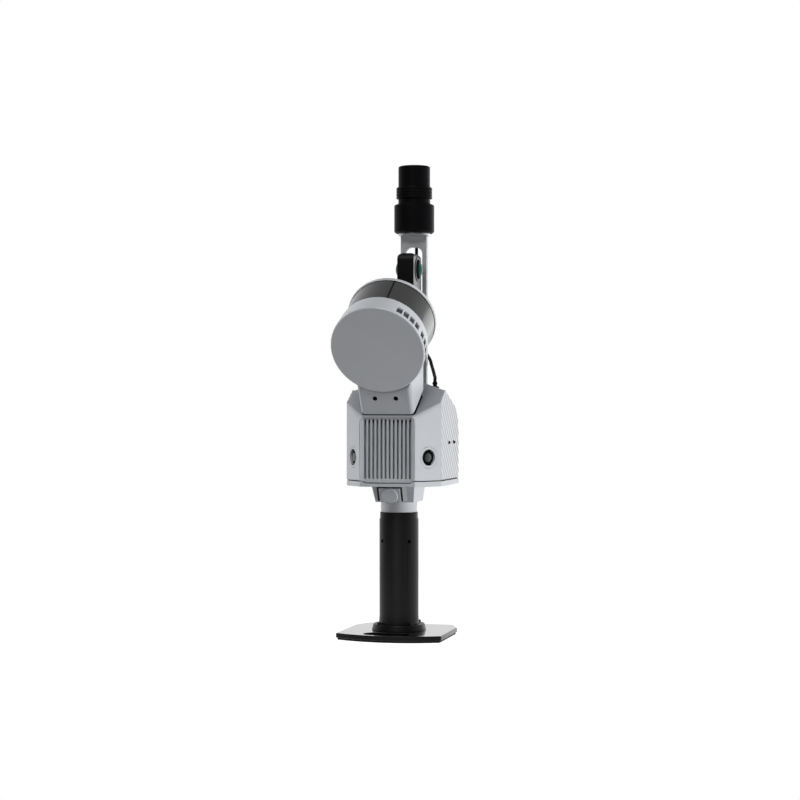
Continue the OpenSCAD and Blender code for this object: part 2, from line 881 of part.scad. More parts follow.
// The two ears on the rear face that hold the hinge pin of the port cover
module hinge_ears() {
    for (s = [-1, 1]) {
        ear_x = -port_x + s * (knuckle_w / 2 + free_gap + ear_w / 2) - ear_w / 2;
        difference() {
            union() {
                translate([ear_x, hinge_y, hinge_z]) rotate([0, 90, 0]) cylinder(r = hinge_r, h = ear_w);
                translate([ear_x, body_rear - shell_wall / 2, hinge_z - hinge_r])
                    cube([ear_w, hinge_y - body_rear + shell_wall / 2, 2 * hinge_r]);
            }
            translate([ear_x - 1, hinge_y, hinge_z]) rotate([0, 90, 0])
                cylinder(r = pin_r + run_fit, h = ear_w + 2);
        }
    }
}

// Space of both side panels with a gap around them
module panel_space(gap) {
    for (s = [0, 1]) mirror([s, 0, 0])
        translate([half_w - panel_t, -panel_front - gap, seam_z - eps]) cube([far, far, far]);
}

// Outline of the part of the heat sink that dips into the bottom cover
module sink_dip_outline(gap) {
    polygon([
        [-dip_w / 2 - gap, seam_z + eps], [dip_w / 2 + gap, seam_z + eps],
        [dip_low_w / 2 + gap, sink_z - gap], [-dip_low_w / 2 - gap, sink_z - gap]
    ]);
}

// Outline of the heat sink above the seam seen from the front, grown by gap and going down to low
module sink_outline(gap, low) {
    half = front_w / 2 - run_fit + gap;
    round = sink_corner_r + gap;
    high = sink_top - sink_corner_r;
    translate([-half, low]) square([2 * half, high - low]);
    translate([-half + round, low]) square([2 * (half - round), sink_top + gap - low]);
    for (s = [-1, 1]) translate([s * (half - round), high]) circle(r = round);
}

// Opening in the front wall of the shell for the heat sink
module sink_opening() {
    along_y(-body_front - 1, -body_front + sink_plate_d + run_fit) sink_outline(run_fit, seam_z - 1);
}

module bottom_cover() {
    color(silver) difference() {
        union() {
            plan_form(0, block_top, seam_z - seam_gap);
            plan_form(seam_step, seam_z - seam_gap - eps, seam_z);
            at_posts() translate([0, 0, seam_z - eps]) cylinder(r = post_r, h = post_h + eps);
        }
        along_y(-body_front - 1, -body_front + sink_plate_d + free_gap) sink_dip_outline(seam_gap);
        at_bosses() translate([0, 0, block_top - 1]) {
            cylinder(r = cover_screw_r + run_fit, h = cover_t + 2);
            cylinder(r = cover_head_r + free_gap, h = cover_head_h + 1);
        }
    }
}

module bottom_screws() {
    color(steel) at_bosses() translate([0, 0, block_top + cover_head_h]) rotate([180, 0, 0])
        screw(cover_head_r, cover_head_h - 0.3, cover_screw_r, cover_t - cover_head_h + boss_h - 4);
}

module main_shell() {
    color(silver) difference() {
        union() {
            difference() {
                body_form(0, seam_z);
                panel_space(panel_gap);
                difference() {
                    body_form(shell_wall, seam_z - 1);
                    for (s = [0, 1]) mirror([s, 0, 0])
                        translate([inner_half, -far, 0]) cube([far, 2 * far, far]);
                }
            }
            at_bosses() translate([0, 0, seam_z]) cylinder(r = boss_r, h = boss_h);
            boss_ribs();
            hinge_ears();
            intersection() {
                at_mast_screws() translate([0, 0, -mast_t - mast_boss_len])
                    cylinder(r = mast_boss_r, h = mast_boss_len);
                back_form(eps);
            }
        }
        at_bosses() cylinder(r = cover_screw_r + run_fit, h = seam_z + boss_h - 2);
        sink_opening();
        for (s = [-1, 1]) at_nav_camera(s) translate([0, 0, -2 * shell_wall])
            cylinder(r = bezel_r + run_fit, h = 4 * shell_wall);
        translate([-port_x - port_w / 2, body_rear - 2 * shell_wall, port_low])
            cube([port_w, 4 * shell_wall, port_h]);
        at_power() translate([0, 0, -2 * shell_wall])
            cylinder(r = power_r + free_gap + ring_w + run_fit, h = 4 * shell_wall);
        translate([plug_x, plug_y, socket_top - socket_depth - 1])
            cylinder(r = socket_r + run_fit, h = far);
        at_mast_screws() translate([0, 0, -mast_t - mast_boss_len - 1])
            cylinder(r = mast_screw_r + run_fit, h = mast_boss_len + 2);
        for (s = [-1, 1], y = [panel_screw_y, panel_screw_y + panel_screw_gap]) {
            translate([s * half_w, y, seam_z + panel_screw_h]) rotate([0, -s * 90, 0])
                cylinder(r = panel_screw_r * 0.6 + run_fit, h = panel_screw_len + 1);
        }
    }
}

module heat_sink() {
    groove_mid = (groove_low + groove_high) / 2;
    color(silver) difference() {
        union() {
            intersection() {
                linear_extrude(far) polygon([
                    [-front_w / 2, -body_front], [-sink_w / 2, -sink_front], [sink_w / 2, -sink_front],
                    [front_w / 2, -body_front], [front_w / 2, -body_front + sink_plate_d],
                    [-front_w / 2, -body_front + sink_plate_d]
                ]);
                along_y(-far, 0) union() {
                    sink_outline(0, seam_z);
                    sink_dip_outline(0);
                }
            }
            translate([-sink_core_w / 2, -body_front + sink_plate_d - eps, seam_z + free_gap])
                cube([sink_core_w, sink_core_d - sink_plate_d + eps, sink_core_top - seam_z - free_gap]);
        }
        for (i = [0 : groove_count - 1]) {
            x = (i - (groove_count - 1) / 2) * groove_pitch;
            along_y(-sink_front - 1, -sink_front + groove_d) translate([x, groove_mid])
                round_rect(groove_w, groove_high - groove_low, groove_w / 2 - eps);
        }
    }
}

// Saw-tooth section of a ridged panel, drawn across the ridges
module ridge_profile() {
    count = ceil(far / 2 / ridge_pitch);
    inner = half_w - panel_t + run_fit;
    teeth = [for (i = [-count : count], step = [0, 0.7])
        [(i + step) * ridge_pitch, half_w - (step == 0 ? 0 : ridge_depth)]];
    polygon(concat([[-count * ridge_pitch, inner]], teeth, [[(count + 0.7) * ridge_pitch, inner]]));
}

module side_panel() {
    difference() {
        intersection() {
            body_form(0, seam_z + panel_gap);
            translate([half_w - panel_t, -panel_front, seam_z]) cube([far, far, far]);
            translate([0, 0, seam_z]) rotate([45, 0, 0]) rotate(a = 180, v = [1, 1, 0])
                translate([0, 0, -far]) linear_extrude(2 * far) ridge_profile();
        }
        for (y = [panel_screw_y, panel_screw_y + panel_screw_gap]) {
            translate([half_w - panel_t - 1, y, seam_z + panel_screw_h]) rotate([0, 90, 0])
                cylinder(r = panel_screw_r + run_fit, h = panel_t + 2);
        }
    }
}

module right_side_panel() {
    color(pale_silver) side_panel();
}

module left_side_panel() {
    color(pale_silver) mirror([1, 0, 0]) side_panel();
}

module panel_screws() {
    head_h = panel_t - ridge_depth - 0.4;
    color(black) for (s = [-1, 1], y = [panel_screw_y, panel_screw_y + panel_screw_gap]) {
        translate([s * (half_w - panel_t + run_fit), y, seam_z + panel_screw_h]) rotate([0, s * 90, 0])
            screw(panel_screw_r, head_h, panel_screw_r * 0.6, shell_wall - 0.3);
    }
}

// Navigation cameras

module camera_bezel(side) {
    color(silver) at_nav_camera(side) translate([0, 0, -bezel_t])
        ring(bezel_r, nav_lens_r + run_fit, bezel_t);
}

module camera_lens(side) {
    color("#0E1013") at_nav_camera(side) intersection() {
        translate([0, 0, -bezel_t]) cylinder(r = nav_lens_r, h = bezel_t);
        translate([0, 0, -nav_recess - nav_dome_r]) sphere(r = nav_dome_r);
    }
}

module camera_module(side) {
    color(dark_grey) at_nav_camera(side) translate([0, 0, -bezel_t - nav_barrel_len]) {
        cylinder(r = nav_lens_r - 0.4, h = nav_barrel_len);
        translate([-nav_box / 2, -nav_box / 2, -nav_box_t]) cube([nav_box, nav_box, nav_box_t + eps]);
    }
}

module left_camera_bezel() { camera_bezel(-1); }
module right_camera_bezel() { camera_bezel(1); }
module left_camera_lens() { camera_lens(-1); }
module right_camera_lens() { camera_lens(1); }
module left_camera_module() { camera_module(-1); }
module right_camera_module() { camera_module(1); }

// Electronics on the bottom cover

module main_board() {
    color(board_green) translate([-board_half_w, board_front_y, seam_z + post_h])
        cube([2 * board_half_w, board_rear_y - board_front_y, board_t]);
}

module computing_module() {
    color(steel) translate([-module_w / 2, board_front_y + 3, board_top]) difference() {
        cube([module_w, module_d, module_h]);
        for (i = [0 : module_fins - 2]) {
            translate([(2 * i + 1) * fin_t, -1, module_floor]) cube([fin_t, module_d + 2, module_h]);
        }
    }
}

module storage_module() {
    color(board_green) translate([-unit_gap / 2 - storage_w, unit_y, board_top])
        cube([storage_w, storage_d, storage_h]);
}

module inertial_unit() {
    color(steel) translate([unit_gap / 2, unit_y, board_top]) cube([inertial_w, inertial_w, inertial_h]);
}

// Rear ports, their hinged cover and the power button

module port_panel() {
    clear = run_fit;
    color(dark_grey) difference() {
        translate([-port_x - port_w / 2 + clear, body_rear - port_panel_t, port_low + clear])
            cube([port_w - 2 * clear, port_panel_t, port_h - 2 * clear]);
        for (s = [-1, 1]) translate([-port_x + s * port_w / 4, body_rear - port_panel_t - 1, port_mid])
            rotate([-90, 0, 0]) cylinder(r = port_hole_r, h = port_panel_t + 2);
    }
}

module port_sockets() {
    color(black) for (s = [-1, 1]) {
        translate([-port_x + s * port_w / 4, body_rear - socket_d, port_mid]) rotate([-90, 0, 0])
            difference() {
                cylinder(r = port_hole_r - run_fit, h = socket_d - 1);
                translate([0, 0, 3]) cylinder(r = port_bore_r, h = socket_d);
            }
    }
}

module port_cover() {
    low = port_low - flap_lap;
    wide = port_w + 2 * flap_lap;
    color(black) difference() {
        union() {
            translate([-port_x - wide / 2, flap_y, low]) cube([wide, flap_t, port_h + 2 * flap_lap]);
            translate([-port_x - knuckle_w / 2, hinge_y, hinge_z]) rotate([0, 90, 0])
                cylinder(r = hinge_r, h = knuckle_w);
            translate([-port_x - knuckle_w / 2, hinge_y - hinge_r + eps, hinge_z])
                cube([knuckle_w, flap_t - eps, low - hinge_z + eps]);
        }
        translate([-port_x - far / 2, hinge_y, hinge_z]) rotate([0, 90, 0])
            cylinder(r = pin_r + run_fit, h = far);
    }
}

module cover_pin() {
    len = knuckle_w + 2 * (free_gap + ear_w);
    color(steel) translate([-port_x - len / 2, hinge_y, hinge_z]) rotate([0, 90, 0])
        cylinder(r = pin_r, h = len);
}

module power_button() {
    color(dark_grey) at_power() translate([0, 0, power_proud - power_len])
        cylinder(r = power_r, h = power_len);
}

module status_ring() {
    color("#BFE8D0") at_power() translate([0, 0, -ring_t])
        ring(power_r + free_gap + ring_w, power_r + free_gap, ring_t + 0.4);
}

// Lidar: children are drawn with +Z back along the axis and -Y up

module lidar_frame() {
    translate([0, -lidar_reach, seam_z + lidar_rise]) rotate([lidar_tilt - 90, 0, 0]) children();
}

module lidar_cap() {
    color(silver) lidar_frame() difference() {
        rotate_extrude() polygon([
            [0, 0], [cap_face_r, 0], [cap_r, cap_rim], [cap_r, vent_at - 1],
            [cap_back_r, cap_len], [cap_well_r, cap_len], [cap_well_r, cap_well], [0, cap_well]
        ]);
        translate([0, 0, shaft_front]) cylinder(r = shaft_r + run_fit, h = cap_len);
        for (group = [0 : vent_groups - 1], i = [0 : vent_count - 1]) {
            angle = vent_start + i * vent_step + group * ((vent_count - 1) * vent_step + vent_skip);
            rotate([0, 0, angle]) translate([-vent_w / 2, -cap_r - 1, vent_at])
                cube([vent_w, vent_depth + 1, vent_len]);
        }
    }
}

module lidar_window() {
    color(smoked) lidar_frame() translate([0, 0, window_at]) rotate_extrude() polygon([
        [window_r - window_wall, 0], [window_r, 0],
        [window_back_r, window_len], [window_r - window_wall, window_len]
    ]);
}

module lidar_base() {
    color(silver) lidar_frame() difference() {
        translate([0, 0, rear_at]) rotate_extrude() polygon([
            [0, 0], [rear_r - 0.4, 0], [rear_r, 0.8], [rear_r, rear_len - 1.5],
            [rear_r - 1.5, rear_len], [0, rear_len]
        ]);
        translate([0, 0, rear_at - 1]) cylinder(r = shaft_r + run_fit, h = rear_len - 1);
        at_screw_angles(base_screw_pcd / 2) translate([0, 0, lidar_len - base_screw_grip - 0.5])
            cylinder(r = base_screw_r + run_fit, h = rear_len);
    }
}

module lidar_base_screws() {
    color(steel) lidar_frame() at_screw_angles(base_screw_pcd / 2)
        translate([0, 0, spine_at + spine_t])
            screw(base_screw_head_r, base_screw_head_h, base_screw_r, spine_t + base_screw_grip);
}

module lidar_shaft() {
    color(steel) lidar_frame() translate([0, 0, shaft_front])
        cylinder(r = shaft_r, h = rear_at + rear_len - 2 - shaft_front);
}

module lidar_bearings() {
    color(steel) lidar_frame() {
        for (z = [rotor_at + bearing_inset, rotor_at + rotor_len - bearing_inset - bearing_t]) {
            translate([0, 0, z]) ring(bearing_r, shaft_r + run_fit, bearing_t);
        }
    }
}

module lidar_rotor() {
    color(dark_grey) lidar_frame() difference() {
        translate([0, 0, rotor_at]) cylinder(r = rotor_r, h = rotor_len);
        translate([0, 0, rotor_at - 1]) cylinder(r = bearing_r + run_fit, h = rotor_len + 2);
        for (s = [-1, 1]) translate([s * optic_x, -rotor_r - 1, rotor_at + rotor_len / 2])
            rotate([-90, 0, 0]) cylinder(r = optic_r, h = optic_d);
    }
}

module lidar_stator() {
    color(brass) lidar_frame() translate([0, 0, cap_well])
        ring(stator_r, shaft_r + run_fit, cap_len - cap_well);
}

// Section of the broad part of the mount, with rounded lower corners
module mount_section() {
    foot_at = slope_drop - neck_reveal;
    steps = 4;
    arc = [for (k = [0 : steps]) neck_foot_r * [cos(90 * k / steps) - 1, sin(90 * k / steps) - 1]];
    right = [for (p = arc) [neck_w / 2 + p[0], foot_at + p[1]]];
    left = [for (k = [steps : -1 : 0]) [-neck_w / 2 - arc[k][0], foot_at + arc[k][1]]];
    polygon(concat([[-neck_w / 2, 0], [neck_w / 2, 0]], right, left));
}

module mount_blank() {
    intersection() {
        translate([0, 0, neck_setback]) linear_extrude(spine_at - neck_setback) mount_section();
        rotate([-90, 0, 0]) translate([0, 0, -far]) linear_extrude(2 * far)
            translate([0, -neck_setback - far / 2]) round_rect(neck_w, far, neck_corner_r);
    }
}

module lidar_mount() {
    color(silver) difference() {
        union() {
            intersection() {
                lidar_frame() mount_blank();
                translate([-far, -far - neck_rear, 0]) cube([2 * far, far, far]);
            }
            lidar_frame() translate([-spine_w / 2, 0, neck_setback + neck_corner_r])
                cube([spine_w, far, spine_at + spine_t - neck_setback - neck_corner_r]);
            lidar_frame() translate([0, 0, spine_at]) cylinder(r = spine_w / 2, h = spine_t);
        }
        slope_cut(0);
        lidar_frame() translate([0, 0, -1]) cylinder(r = saddle_r, h = spine_at + 1);
        lidar_frame() translate([0, 0, neck_setback - 1])
            cylinder(r1 = saddle_r + saddle_lip + 1, r2 = saddle_r - 1, h = saddle_lip + 2);
        lidar_frame() at_screw_angles(base_screw_pcd / 2) translate([0, 0, spine_at - 1])
            cylinder(r = base_screw_r + run_fit, h = spine_t + 2);
        lidar_frame() for (s = [-1, 1]) translate([s * neck_screw_gap / 2, neck_hole_y, neck_setback - 1]) {
            cylinder(r = neck_hole_r, h = neck_hole_depth + 1);
            cylinder(r = neck_screw_r + run_fit, h = neck_hole_depth + neck_screw_len + 2);
        }
    }
}

module mount_screws() {
    color(black) lidar_frame() for (s = [-1, 1]) {
        translate([s * neck_screw_gap / 2, neck_hole_y, neck_setback + neck_hole_depth]) rotate([180, 0, 0])
            screw(neck_hole_r - run_fit, neck_head_h, neck_screw_r, neck_screw_len);
    }
}

// Mast, antenna and its lead

module mast_bracket() {
    color(steel) difference() {
        union() {
            translate([-mast_w / 2, mast_y, mast_low]) cube([mast_w, mast_t, mast_top - mast_low]);
            translate([-pano_w / 2, pano_front_y + 4, shelf_low])
                cube([pano_w, mast_y - pano_front_y - 4 + eps, shelf_t]);
        }
        along_y(mast_y - 1, mast_back + 1) translate([0, arch_top - arch_h / 2])
            round_rect(arch_w, arch_h, arch_r);
        at_mast_screws() translate([0, 0, -mast_t - 1])
            cylinder(r = mast_screw_r + run_fit, h = mast_t + 2);
        translate([0, pano_y, shelf_low - 1]) cylinder(r = pano_screw_r + run_fit, h = shelf_t + 2);
    }
}

module mast_screws() {
    color(steel) at_mast_screws() difference() {
        screw(mast_head_r, mast_head_h, mast_screw_r, mast_t + mast_boss_len - 1);
        translate([0, 0, mast_head_h - 1]) cylinder(r = mast_head_r * 0.5, h = 2, $fn = 6);
    }
}

module antenna_flange() {
    color(pale_silver) translate([0, 0, mast_top]) difference() {
        translate([0, antenna_y, 0]) cylinder(r = flange_r, h = flange_t);
        translate([0, connector_y, -1]) cylinder(r = connector_r + run_fit, h = flange_t + 2);
    }
}

module antenna_base() {
    body_h = antenna_base_h - (antenna_r - antenna_neck_r) / 2;
    color(black) translate([0, antenna_y, flange_top]) rotate_extrude() polygon([
        [0, 0], [antenna_r - base_chamfer, 0], [antenna_r, base_chamfer], [antenna_r, body_h],
        [antenna_neck_r, antenna_base_h], [antenna_neck_r, antenna_base_h + antenna_neck_h],
        [0, antenna_base_h + antenna_neck_h]
    ]);
}

module antenna_band() {
    step = band_h / band_rib_count;
    outline = [for (i = [0 : band_rib_count - 1], p = [[0, 0], [0, 0.72], [1, 0.72], [1, 1]])
        [band_r - p[0] * band_rib, (i + p[1]) * step]];
    color(black) translate([0, antenna_y, band_z]) rotate_extrude()
        polygon(concat([[0, 0]], outline, [[0, band_h]]));
}

module antenna_radome() {
    color(black) translate([0, antenna_y, radome_z]) rotate_extrude() polygon([
        [0, 0], [radome_r, 0], [radome_r, radome_h - 1], [radome_r - 1, radome_h], [0, radome_h]
    ]);
}

module antenna_connector() {
    color(brass) translate([0, connector_y, connector_z])
        cylinder(r = connector_r, h = flange_top - connector_z);
}

function unit(v) = v / norm(v);

function heading(route, i) =
    unit(route[min(i + 1, len(route) - 1)] - route[max(i - 1, 0)]);

// One ring of the tube, square to the route at point i
function tube_ring(route, i, radius, sides) =
    let (along = heading(route, i), across = unit(cross(along, [1, 0, 0])), up = cross(along, across))
    [for (k = [0 : sides - 1])
        route[i] + radius * (cos(360 * k / sides) * across + sin(360 * k / sides) * up)];

module tube(route, radius, sides) {
    last = len(route) - 1;
    rings = [for (i = [0 : last]) each tube_ring(route, i, radius, sides)];
    sleeve = [for (i = [0 : last - 1], k = [0 : sides - 1])
        let (next = (k + 1) % sides)
        [i * sides + k, i * sides + next, (i + 1) * sides + next, (i + 1) * sides + k]];
    front = [[for (k = [sides - 1 : -1 : 0]) k]];
    back = [[for (k = [0 : sides - 1]) last * sides + k]];
    polyhedron(points = rings, faces = concat(sleeve, front, back));
}

module antenna_lead() {
    color(black) tube(lead_route, lead_r, lead_sides);
}

module lead_plug() {
    boot_top = plug_h - 0.6;
    color(black) translate([plug_x, plug_y, socket_top]) rotate_extrude() polygon([
        [0, 0], [plug_r, 0], [plug_r, plug_ring_h], [plug_neck_r, plug_ring_h + 0.8],
        [plug_neck_r, boot_top - boot_h], [boot_r, boot_top - boot_h + 0.6], [boot_r, boot_top - 0.6],
        [lead_r + 0.3, boot_top], [lead_r + 0.1, plug_h], [0, plug_h]
    ]);
}

module antenna_socket() {
    color(brass) translate([plug_x, plug_y, socket_top - socket_depth])
        cylinder(r = socket_r, h = socket_depth);
}

// Panoramic camera

module pano_body() {
    mid_z = (pano_low + pano_top) / 2;
    color(black) difference() {
        union() {
            intersection() {
                along_y(pano_front_y, pano_back_y) translate([0, mid_z])
                    round_rect(pano_w, pano_h, pano_edge_r);
                along_x(-pano_w, pano_w) translate([pano_y, mid_z])
                    round_rect(pano_d, pano_h, pano_corner_r);
            }
            for (s = [-1, 1]) translate([0, pano_y, pano_lens_z]) rotate([0, s * 90, 0])
                cylinder(r = pano_ring_r, h = pano_w / 2 + pano_ring_t);
        }
        for (s = [-1, 1]) translate([0, pano_y, pano_lens_z]) rotate([0, s * 90, 0])
            translate([0, 0, pano_w / 2 - pano_lens_seat]) cylinder(r = pano_lens_r + run_fit, h = far);
        translate([pano_w / 2 - pano_button_len - pano_travel - free_gap, pano_y, pano_button_z])
            rotate([0, 90, 0]) cylinder(r = pano_button_r + free_gap, h = far);
        translate([0, pano_y, pano_low - 1]) cylinder(r = pano_screw_r + run_fit, h = pano_screw_len + 2);
    }
}

module pano_lenses() {
    color("#0F3A36") for (s = [-1, 1]) translate([0, pano_y, pano_lens_z]) rotate([0, s * 90, 0])
        translate([0, 0, pano_w / 2]) {
            translate([0, 0, -pano_lens_seat]) cylinder(r = pano_lens_r, h = pano_lens_seat);
            intersection() {
                translate([0, 0, pano_bulge - pano_dome_r]) sphere(r = pano_dome_r);
                translate([0, 0, -eps]) cylinder(r = pano_lens_r, h = pano_bulge + 1);
            }
        }
}

module pano_button() {
    color(dark_grey) translate([pano_w / 2 - pano_button_len, pano_y, pano_button_z]) rotate([0, 90, 0])
        cylinder(r = pano_button_r, h = pano_button_len + pano_button_proud);
}

module pano_screw() {
    color(steel) translate([0, pano_y, shelf_low]) rotate([180, 0, 0])
        screw(pano_knob_r, pano_knob_h, pano_screw_r, shelf_t + pano_screw_len);
}

base_plate();
base_pad();
tripod_insert();
foot_flange();
foot_screws();
handle_core();
handle_grip();
grip_screws();
battery_pack();
handle_collar();
release_block();
release_button();
release_spring();
bottom_cover();
bottom_screws();
main_shell();
heat_sink();
left_side_panel();
right_side_panel();
panel_screws();
left_camera_bezel();
right_camera_bezel();
left_camera_lens();
right_camera_lens();
left_camera_module();
right_camera_module();
main_board();
computing_module();
storage_module();
inertial_unit();
port_panel();
port_sockets();
port_cover();
cover_pin();
power_button();
status_ring();
lidar_mount();
mount_screws();
lidar_cap();
lidar_window();
lidar_base();
lidar_base_screws();
lidar_shaft();
lidar_bearings();
lidar_rotor();
lidar_stator();
mast_bracket();
mast_screws();
antenna_flange();
antenna_base();
antenna_band();
antenna_radome();
antenna_connector();
antenna_lead();
lead_plug();
antenna_socket();
pano_body();
pano_lenses();
pano_button();
pano_screw();
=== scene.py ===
import json
import math

import bmesh
import bpy
from mathutils import Matrix, Vector

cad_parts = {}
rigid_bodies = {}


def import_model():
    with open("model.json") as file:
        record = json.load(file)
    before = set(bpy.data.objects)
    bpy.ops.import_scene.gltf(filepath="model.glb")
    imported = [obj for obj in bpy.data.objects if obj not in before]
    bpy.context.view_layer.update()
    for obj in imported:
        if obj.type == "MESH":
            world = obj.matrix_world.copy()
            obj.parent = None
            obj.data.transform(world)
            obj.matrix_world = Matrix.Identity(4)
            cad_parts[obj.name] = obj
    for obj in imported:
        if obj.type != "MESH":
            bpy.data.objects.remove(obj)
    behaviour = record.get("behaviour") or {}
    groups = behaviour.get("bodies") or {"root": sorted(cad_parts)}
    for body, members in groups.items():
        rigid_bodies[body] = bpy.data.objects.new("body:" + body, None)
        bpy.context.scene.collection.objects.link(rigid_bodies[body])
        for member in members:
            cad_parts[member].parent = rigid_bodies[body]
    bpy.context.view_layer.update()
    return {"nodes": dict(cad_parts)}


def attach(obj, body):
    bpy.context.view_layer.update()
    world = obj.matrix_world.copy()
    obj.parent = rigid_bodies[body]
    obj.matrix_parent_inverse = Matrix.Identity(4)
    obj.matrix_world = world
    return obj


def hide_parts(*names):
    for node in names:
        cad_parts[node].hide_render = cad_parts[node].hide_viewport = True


for old in list(bpy.data.objects):
    bpy.data.objects.remove(old)
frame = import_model()
nodes = frame["nodes"]
scene = bpy.context.scene


# Camera. The photograph looks at the scanner from slightly to its right and level with its body,
# through a long lens from about two metres away.
view_azimuth = math.radians(14.2)
view_distance = 1.953
view_height = 0.2435
sensor_mm, lens_mm = 36, 83.7
image_px, shift_right_px, shift_up_px = 800, 1, 4
clip_distance = 30
camera_data = bpy.data.cameras.new("camera")
camera_data.sensor_width = sensor_mm
camera_data.lens = lens_mm
camera_data.shift_x = shift_right_px / image_px
camera_data.shift_y = shift_up_px / image_px
camera_data.clip_end = clip_distance
camera = bpy.data.objects.new("camera", camera_data)
camera.location = (view_distance * math.sin(view_azimuth),
                   -view_distance * math.cos(view_azimuth), view_height)
camera.rotation_euler = (math.radians(90), 0, view_azimuth)
scene.collection.objects.link(camera)
scene.camera = camera


# Antenna lead. A coaxial cable in a black rubber jacket, held between the connector under the
# antenna and the plug on the roof. It hangs straight behind the mast and bows over to the plug.
lead_radius = 0.0018
lead_points = [
    (0, 0.078, 0.414), (0, 0.078, 0.404), (0, 0.078, 0.392), (0, 0.0775, 0.38),
    (0, 0.077, 0.368), (0, 0.077, 0.356), (0.0005, 0.077, 0.344), (0.0015, 0.077, 0.332),
    (0.003, 0.077, 0.321), (0.0052, 0.077, 0.3115), (0.0082, 0.0768, 0.3035),
    (0.012, 0.0756, 0.2974), (0.0162, 0.0725, 0.292), (0.0196, 0.066, 0.2858),
    (0.0239, 0.056, 0.2792), (0.0276, 0.046, 0.2738), (0.0297, 0.0394, 0.2716),
    (0.0303, 0.0369, 0.2706), (0.03055, 0.0356, 0.2696), (0.0306, 0.035, 0.2685),
    (0.0306, 0.035, 0.2675)]


def linear(colour):
    """An sRGB hex colour as linear red, green, blue and alpha."""
    channels = [int(colour[i:i + 2], 16) / 255 for i in (1, 3, 5)]
    return [c / 12.92 if c <= 0.04045 else ((c + 0.055) / 1.055) ** 2.4 for c in channels] + [1]


def add(tree, kind, settings=None, links=None):
    """Adds a shader node, sets its properties and sockets, and links other sockets into it."""
    node = tree.nodes.new("ShaderNode" + kind)
    for name, value in (settings or {}).items():
        if isinstance(name, int) or name in node.inputs:
            node.inputs[name].default_value = value
        else:
            setattr(node, name, value)
    for name, socket in (links or {}).items():
        tree.links.new(socket, node.inputs[name])
    return node


def finish_of(name, tones, roughness, grain_mm, relief_mm, settings=None, spread_mm=25):
    """A material whose grain varies its gloss and height and whose colour drifts between tones.

    Grain that is too fine to show, such as paint flakes or tool marks, is drawn at 0.3 to 0.9 mm.
    """
    noise_low, noise_high = 0.3, 0.7
    material = bpy.data.materials.new(name)
    material.use_nodes = True
    tree = material.node_tree
    shader = tree.nodes["Principled BSDF"]
    for socket, value in (settings or {}).items():
        shader.inputs[socket].default_value = value
    place = add(tree, "TexCoord").outputs["Object"]
    broad = add(tree, "TexNoise", {"Scale": 1000 / spread_mm, "Detail": 2}, {"Vector": place})
    tone = add(tree, "MixRGB", {"Color1": linear(tones[0]), "Color2": linear(tones[1])},
               {"Fac": broad.outputs["Fac"]})
    grain = add(tree, "TexNoise", {"Scale": 1000 / grain_mm, "Detail": 3}, {"Vector": place})
    gloss = add(tree, "MapRange", {"From Min": noise_low, "From Max": noise_high,
                                   "To Min": roughness[0], "To Max": roughness[1]},
                {"Value": grain.outputs["Fac"]})
    relief = add(tree, "Bump", {"Distance": relief_mm / 1000}, {"Height": grain.outputs["Fac"]})
    tree.links.new(tone.outputs["Color"], shader.inputs["Base Color"])
    tree.links.new(gloss.outputs["Result"], shader.inputs["Roughness"])
    tree.links.new(relief.outputs["Normal"], shader.inputs["Normal"])
    return material


def piece_of(name, data, material):
    """Puts a mesh or curve into the scene as a piece of one material."""
    data.materials.append(material)
    piece = bpy.data.objects.new(name, data)
    scene.collection.objects.link(piece)
    return piece


# Extruded rubber: black with a faint satin shine along the cable.
jacket_rubber = finish_of("extruded_rubber", ("#0A0A0B", "#0F0F10"), roughness=(0.45, 0.58),
                          grain_mm=0.8, relief_mm=0.02, settings={"Specular IOR Level": 0.08})
lead_curve = bpy.data.curves.new("antenna_lead_jacket", "CURVE")
lead_curve.dimensions = "3D"
lead_curve.bevel_depth = lead_radius
lead_curve.bevel_resolution = 5
lead_curve.resolution_u = 8
lead_curve.use_fill_caps = True
lead_run = lead_curve.splines.new("BEZIER")
lead_run.bezier_points.add(len(lead_points) - 1)
for knot, point in zip(lead_run.bezier_points, lead_points):
    knot.co = point
    knot.handle_left_type = "AUTO"
    knot.handle_right_type = "AUTO"
lead = piece_of("antenna_lead_jacket", lead_curve, jacket_rubber)
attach(lead, "scanner")
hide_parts("antenna_lead")


# Base plate. A flat plate cut from aluminium and anodised black, with a window over the ground
# mark. A rubber pad is glued under it, and a steel insert with the tripod thread is pressed into
# its middle.
weld_gap = 1e-6
flat_turn = math.radians(0.2)
edge_turn = math.radians(32)


def soften(piece, edge_mm, steps):
    """Shades a piece smooth, rounds its edges and keeps its broad faces flat."""
    mesh = piece.data
    mesh.polygons.foreach_set("use_smooth", [True] * len(mesh.polygons))
    bevel = piece.modifiers.new("edges", "BEVEL")
    bevel.width = edge_mm / 1000
    bevel.segments = steps
    bevel.limit_method = "ANGLE"
    bevel.angle_limit = edge_turn
    bevel.use_clamp_overlap = False
    normals = piece.modifiers.new("normals", "WEIGHTED_NORMAL")
    normals.keep_sharp = False


def dress(names, material, edge_mm=0.3, steps=2):
    """Gives CAD nodes a material, joins their split faces and rounds their edges."""
    for name in names:
        piece = nodes[name]
        piece.data.materials.clear()
        piece.data.materials.append(material)
        weld = piece.modifiers.new("weld", "WELD")
        weld.merge_threshold = weld_gap
        flats = piece.modifiers.new("flats", "DECIMATE")
        flats.decimate_type = "DISSOLVE"
        flats.angle_limit = flat_turn
        flats.delimit = {"MATERIAL"}
        soften(piece, edge_mm, steps)


